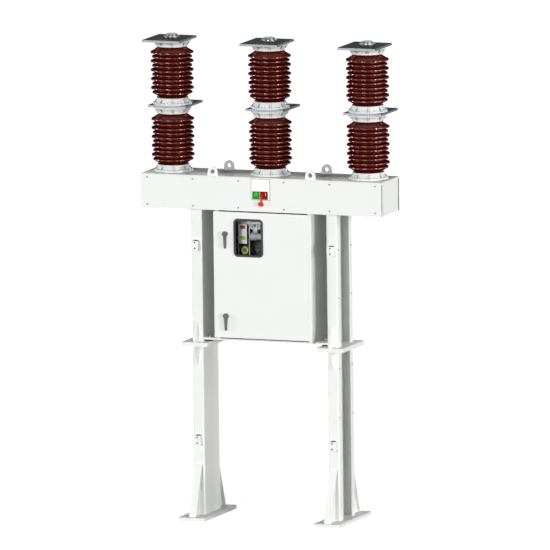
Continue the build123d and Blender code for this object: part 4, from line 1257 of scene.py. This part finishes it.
gloss = add_node(
    tree, "ShaderNodeMapRange", {"To Min": 0.4, "To Max": 0.6}, {"Value": cloud}
).outputs[0]
surface = add_node(
    tree,
    "ShaderNodeBsdfPrincipled",
    {"Metallic": 0.3},
    {"Base Color": colour, "Roughness": gloss},
)
add_node(tree, "ShaderNodeOutputMaterial", None, {"Surface": surface.outputs[0]})
finish_nodes(frame_steel, "mechanism_frame")
finish_nodes(white_enamel, "label_panel")
panel_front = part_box("label_panel")[0].y
magenta_print = plain_gloss("magenta_printed_enamel", "#a3123a", "#8c0e30", 0.3, 0.4, 8 * MM)
lime_print = plain_gloss("yellow_green_printed_enamel", "#b3b52a", "#9da020", 0.3, 0.4, 8 * MM)
grey_print = plain_gloss("grey_printed_enamel", "#a2a5a6", "#8f9293", 0.3, 0.4, 30 * MM)
LABEL_CORNER = 1 * MM
LABEL_THICK = 0.5 * MM
for name, material, left, right, low, high in (
    ("label_head", grey_print, -219, -156, 2166, 2196),
    ("label_upper_field", magenta_print, -207, -167, 2133, 2160),
    ("label_lower_field", lime_print, -207, -166, 2053, 2081),
):
    outline = rounded_field(left * MM, right * MM, low * MM, high * MM, LABEL_CORNER)
    flat_piece(name, material, outline, panel_front, LABEL_THICK)

CAM_HUB = (16 * MM, 17 * MM)
CAM_TYRE = (27 * MM, 27.5 * MM)
CHROMATE_CLOUD = 9 * MM
cam_low, cam_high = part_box("cam_wheel")
cam_centre = (cam_low + cam_high) / 2
yellow_chromate, tree = start_material("yellow_chromated_steel")
place = add_node(tree, "ShaderNodeTexCoord").outputs["Object"]
centred = add_node(
    tree,
    "ShaderNodeMapping",
    {"Location": (-cam_centre.x, 0.0, -cam_centre.z), "Scale": (1.0, 0.0, 1.0)},
    {"Vector": place},
).outputs[0]
radius = add_node(
    tree, "ShaderNodeVectorMath", {"operation": "LENGTH"}, {0: centred}
).outputs["Value"]
rim = add_node(
    tree, "ShaderNodeMapRange", {"From Min": CAM_HUB[0], "From Max": CAM_HUB[1]}, {"Value": radius}
).outputs[0]
iris = add_node(
    tree, "ShaderNodeTexNoise", {"Scale": 1 / CHROMATE_CLOUD, "Detail": 3.0}, {"Vector": place}
).outputs["Fac"]
yellow = add_node(
    tree,
    "ShaderNodeMix",
    {"data_type": "RGBA", 6: linear("#8f861f"), 7: linear("#c0b432")},
    {0: iris},
).outputs[2]
ring = add_node(
    tree, "ShaderNodeMix", {"data_type": "RGBA", 6: linear("#5a5850")}, {0: rim, 7: yellow}
).outputs[2]
tyre = add_node(
    tree, "ShaderNodeMapRange", {"From Min": CAM_TYRE[0], "From Max": CAM_TYRE[1]}, {"Value": radius}
).outputs[0]
colour = add_node(
    tree, "ShaderNodeMix", {"data_type": "RGBA", 7: linear("#1c1d1d")}, {0: tyre, 6: ring}
).outputs[2]
surface = add_node(
    tree, "ShaderNodeBsdfPrincipled", {"Metallic": 0.5, "Roughness": 0.4}, {"Base Color": colour}
)
add_node(tree, "ShaderNodeOutputMaterial", None, {"Surface": surface.outputs[0]})
finish_nodes(yellow_chromate, "cam_wheel")
motor_enamel = plain_gloss("grey_motor_enamel", "#c4c6c5", "#b2b5b4", 0.32, 0.42, 20 * MM)
finish_nodes(motor_enamel, "charging_motor")
finish_nodes(dull_zinc, "link_plate")


# Studio: a wide pale floor, low soft lamps from the front, the sides and behind, and a long lens far
# off, as in a catalogue. The floor and the sky show white to the camera, to metal and to glass, and the
# floor keeps a shadow; matt surfaces get little light from either, so folds and gaps stay dark.
def seen_directly(tree):
    """1 for a ray from the camera, off metal or through glass, and 0 for one off a matt surface."""
    path = add_node(tree, "ShaderNodeLightPath").outputs
    seen = path["Is Camera Ray"]
    for other in (path["Is Glossy Ray"], path["Is Transmission Ray"]):
        seen = add_node(
            tree, "ShaderNodeMath", {"operation": "MAXIMUM"}, {0: seen, 1: other}
        ).outputs[0]
    return seen


floor_paint, tree = start_material("studio_floor")
seen = seen_directly(tree)
matt = add_node(tree, "ShaderNodeBsdfDiffuse", {"Color": linear("#c8c8c8")})
carpet = add_node(tree, "ShaderNodeBsdfDiffuse", {"Color": linear("#303030")})
glow = add_node(tree, "ShaderNodeEmission", {"Color": (1.0, 1.0, 1.0, 1.0), "Strength": 0.86})
lit = add_node(tree, "ShaderNodeAddShader", None, {0: matt.outputs[0], 1: glow.outputs[0]})
surface = add_node(
    tree, "ShaderNodeMixShader", None, {0: seen, 1: carpet.outputs[0], 2: lit.outputs[0]}
)
add_node(tree, "ShaderNodeOutputMaterial", None, {"Surface": surface.outputs[0]})
FLOOR_HALF = 60.0
FLOOR_DROP = 0.3 * MM
mesh = bpy.data.meshes.new("studio_floor")
mesh.from_pydata(
    [(x, y, -FLOOR_DROP) for x, y in ((-1, -1), (1, -1), (1, 1), (-1, 1))], [], [(0, 1, 2, 3)]
)
mesh.transform(Matrix.Diagonal((FLOOR_HALF, FLOOR_HALF, 1.0, 1.0)))
mesh.materials.append(floor_paint)
new_object("studio_floor", mesh)

world = bpy.data.worlds.new("studio_sky")
bpy.context.scene.world = world
world.use_nodes = True
tree = world.node_tree
tree.nodes.clear()
seen = seen_directly(tree)
dim = add_node(tree, "ShaderNodeBackground", {"Color": linear("#ffffff"), "Strength": 0.008})
bright = add_node(tree, "ShaderNodeBackground", {"Color": linear("#ffffff"), "Strength": 1.0})
surface = add_node(
    tree, "ShaderNodeMixShader", None, {0: seen, 1: dim.outputs[0], 2: bright.outputs[0]}
)
add_node(tree, "ShaderNodeOutputWorld", None, {"Surface": surface.outputs[0]})

# Each lamp's azimuth from the front and elevation are in degrees, then its strength and its spread.
for name, azimuth, elevation, strength, spread in (
    ("left_light", -75, 4, 1.1, 8),
    ("left_front_light", -45, 5, 0.25, 8),
    ("key_light", -7, 13, 1.92, 12),
    ("middle_front_light", 6, 5, 0.4, 8),
    ("right_front_light", 42, 5, 0.25, 8),
    ("right_light", 66, 4, 1.4, 8),
    ("right_side_light", 92, 6, 2.05, 30),
    ("back_light", 180, 1, 2.4, 2),
):
    lamp = bpy.data.lights.new(name, "SUN")
    lamp.energy = strength
    lamp.angle = math.radians(spread)
    holder = new_object(name, lamp)
    turn, rise = math.radians(azimuth), math.radians(elevation)
    level = math.cos(rise)
    towards = Vector((math.sin(turn) * level, -math.cos(turn) * level, math.sin(rise)))
    holder.rotation_euler = towards.to_track_quat("Z", "Y").to_euler()

AZIMUTH = math.radians(21.109)
ELEVATION = math.radians(8.333)
ROLL = math.radians(0.684)
DISTANCE = 145.3
AIM_HEIGHT = 1.75
AIM_RIGHT = 0.0213
AIM_UP = 0.0379
SENSOR_MM = 36.0
LENS_MM = 1307.0
level = math.cos(ELEVATION)
back = Vector((math.sin(AZIMUTH) * level, -math.cos(AZIMUTH) * level, math.sin(ELEVATION)))
right = Vector((math.cos(AZIMUTH), math.sin(AZIMUTH), 0.0))
up = back.cross(right)
aim = Vector((0.0, 0.0, AIM_HEIGHT)) + right * AIM_RIGHT + up * AIM_UP
camera = bpy.data.cameras.new("catalogue_camera")
camera.sensor_width = SENSOR_MM
camera.lens = LENS_MM
camera.clip_start = 1.0
camera.clip_end = 400.0
holder = new_object("catalogue_camera", camera)
across = right * math.cos(ROLL) - up * math.sin(ROLL)
above = right * math.sin(ROLL) + up * math.cos(ROLL)
turned = Matrix((across, above, back)).transposed().to_4x4()
holder.matrix_world = Matrix.Translation(aim + back * DISTANCE) @ turned
bpy.context.scene.camera = holder
bpy.context.scene.view_settings.view_transform = "Standard"
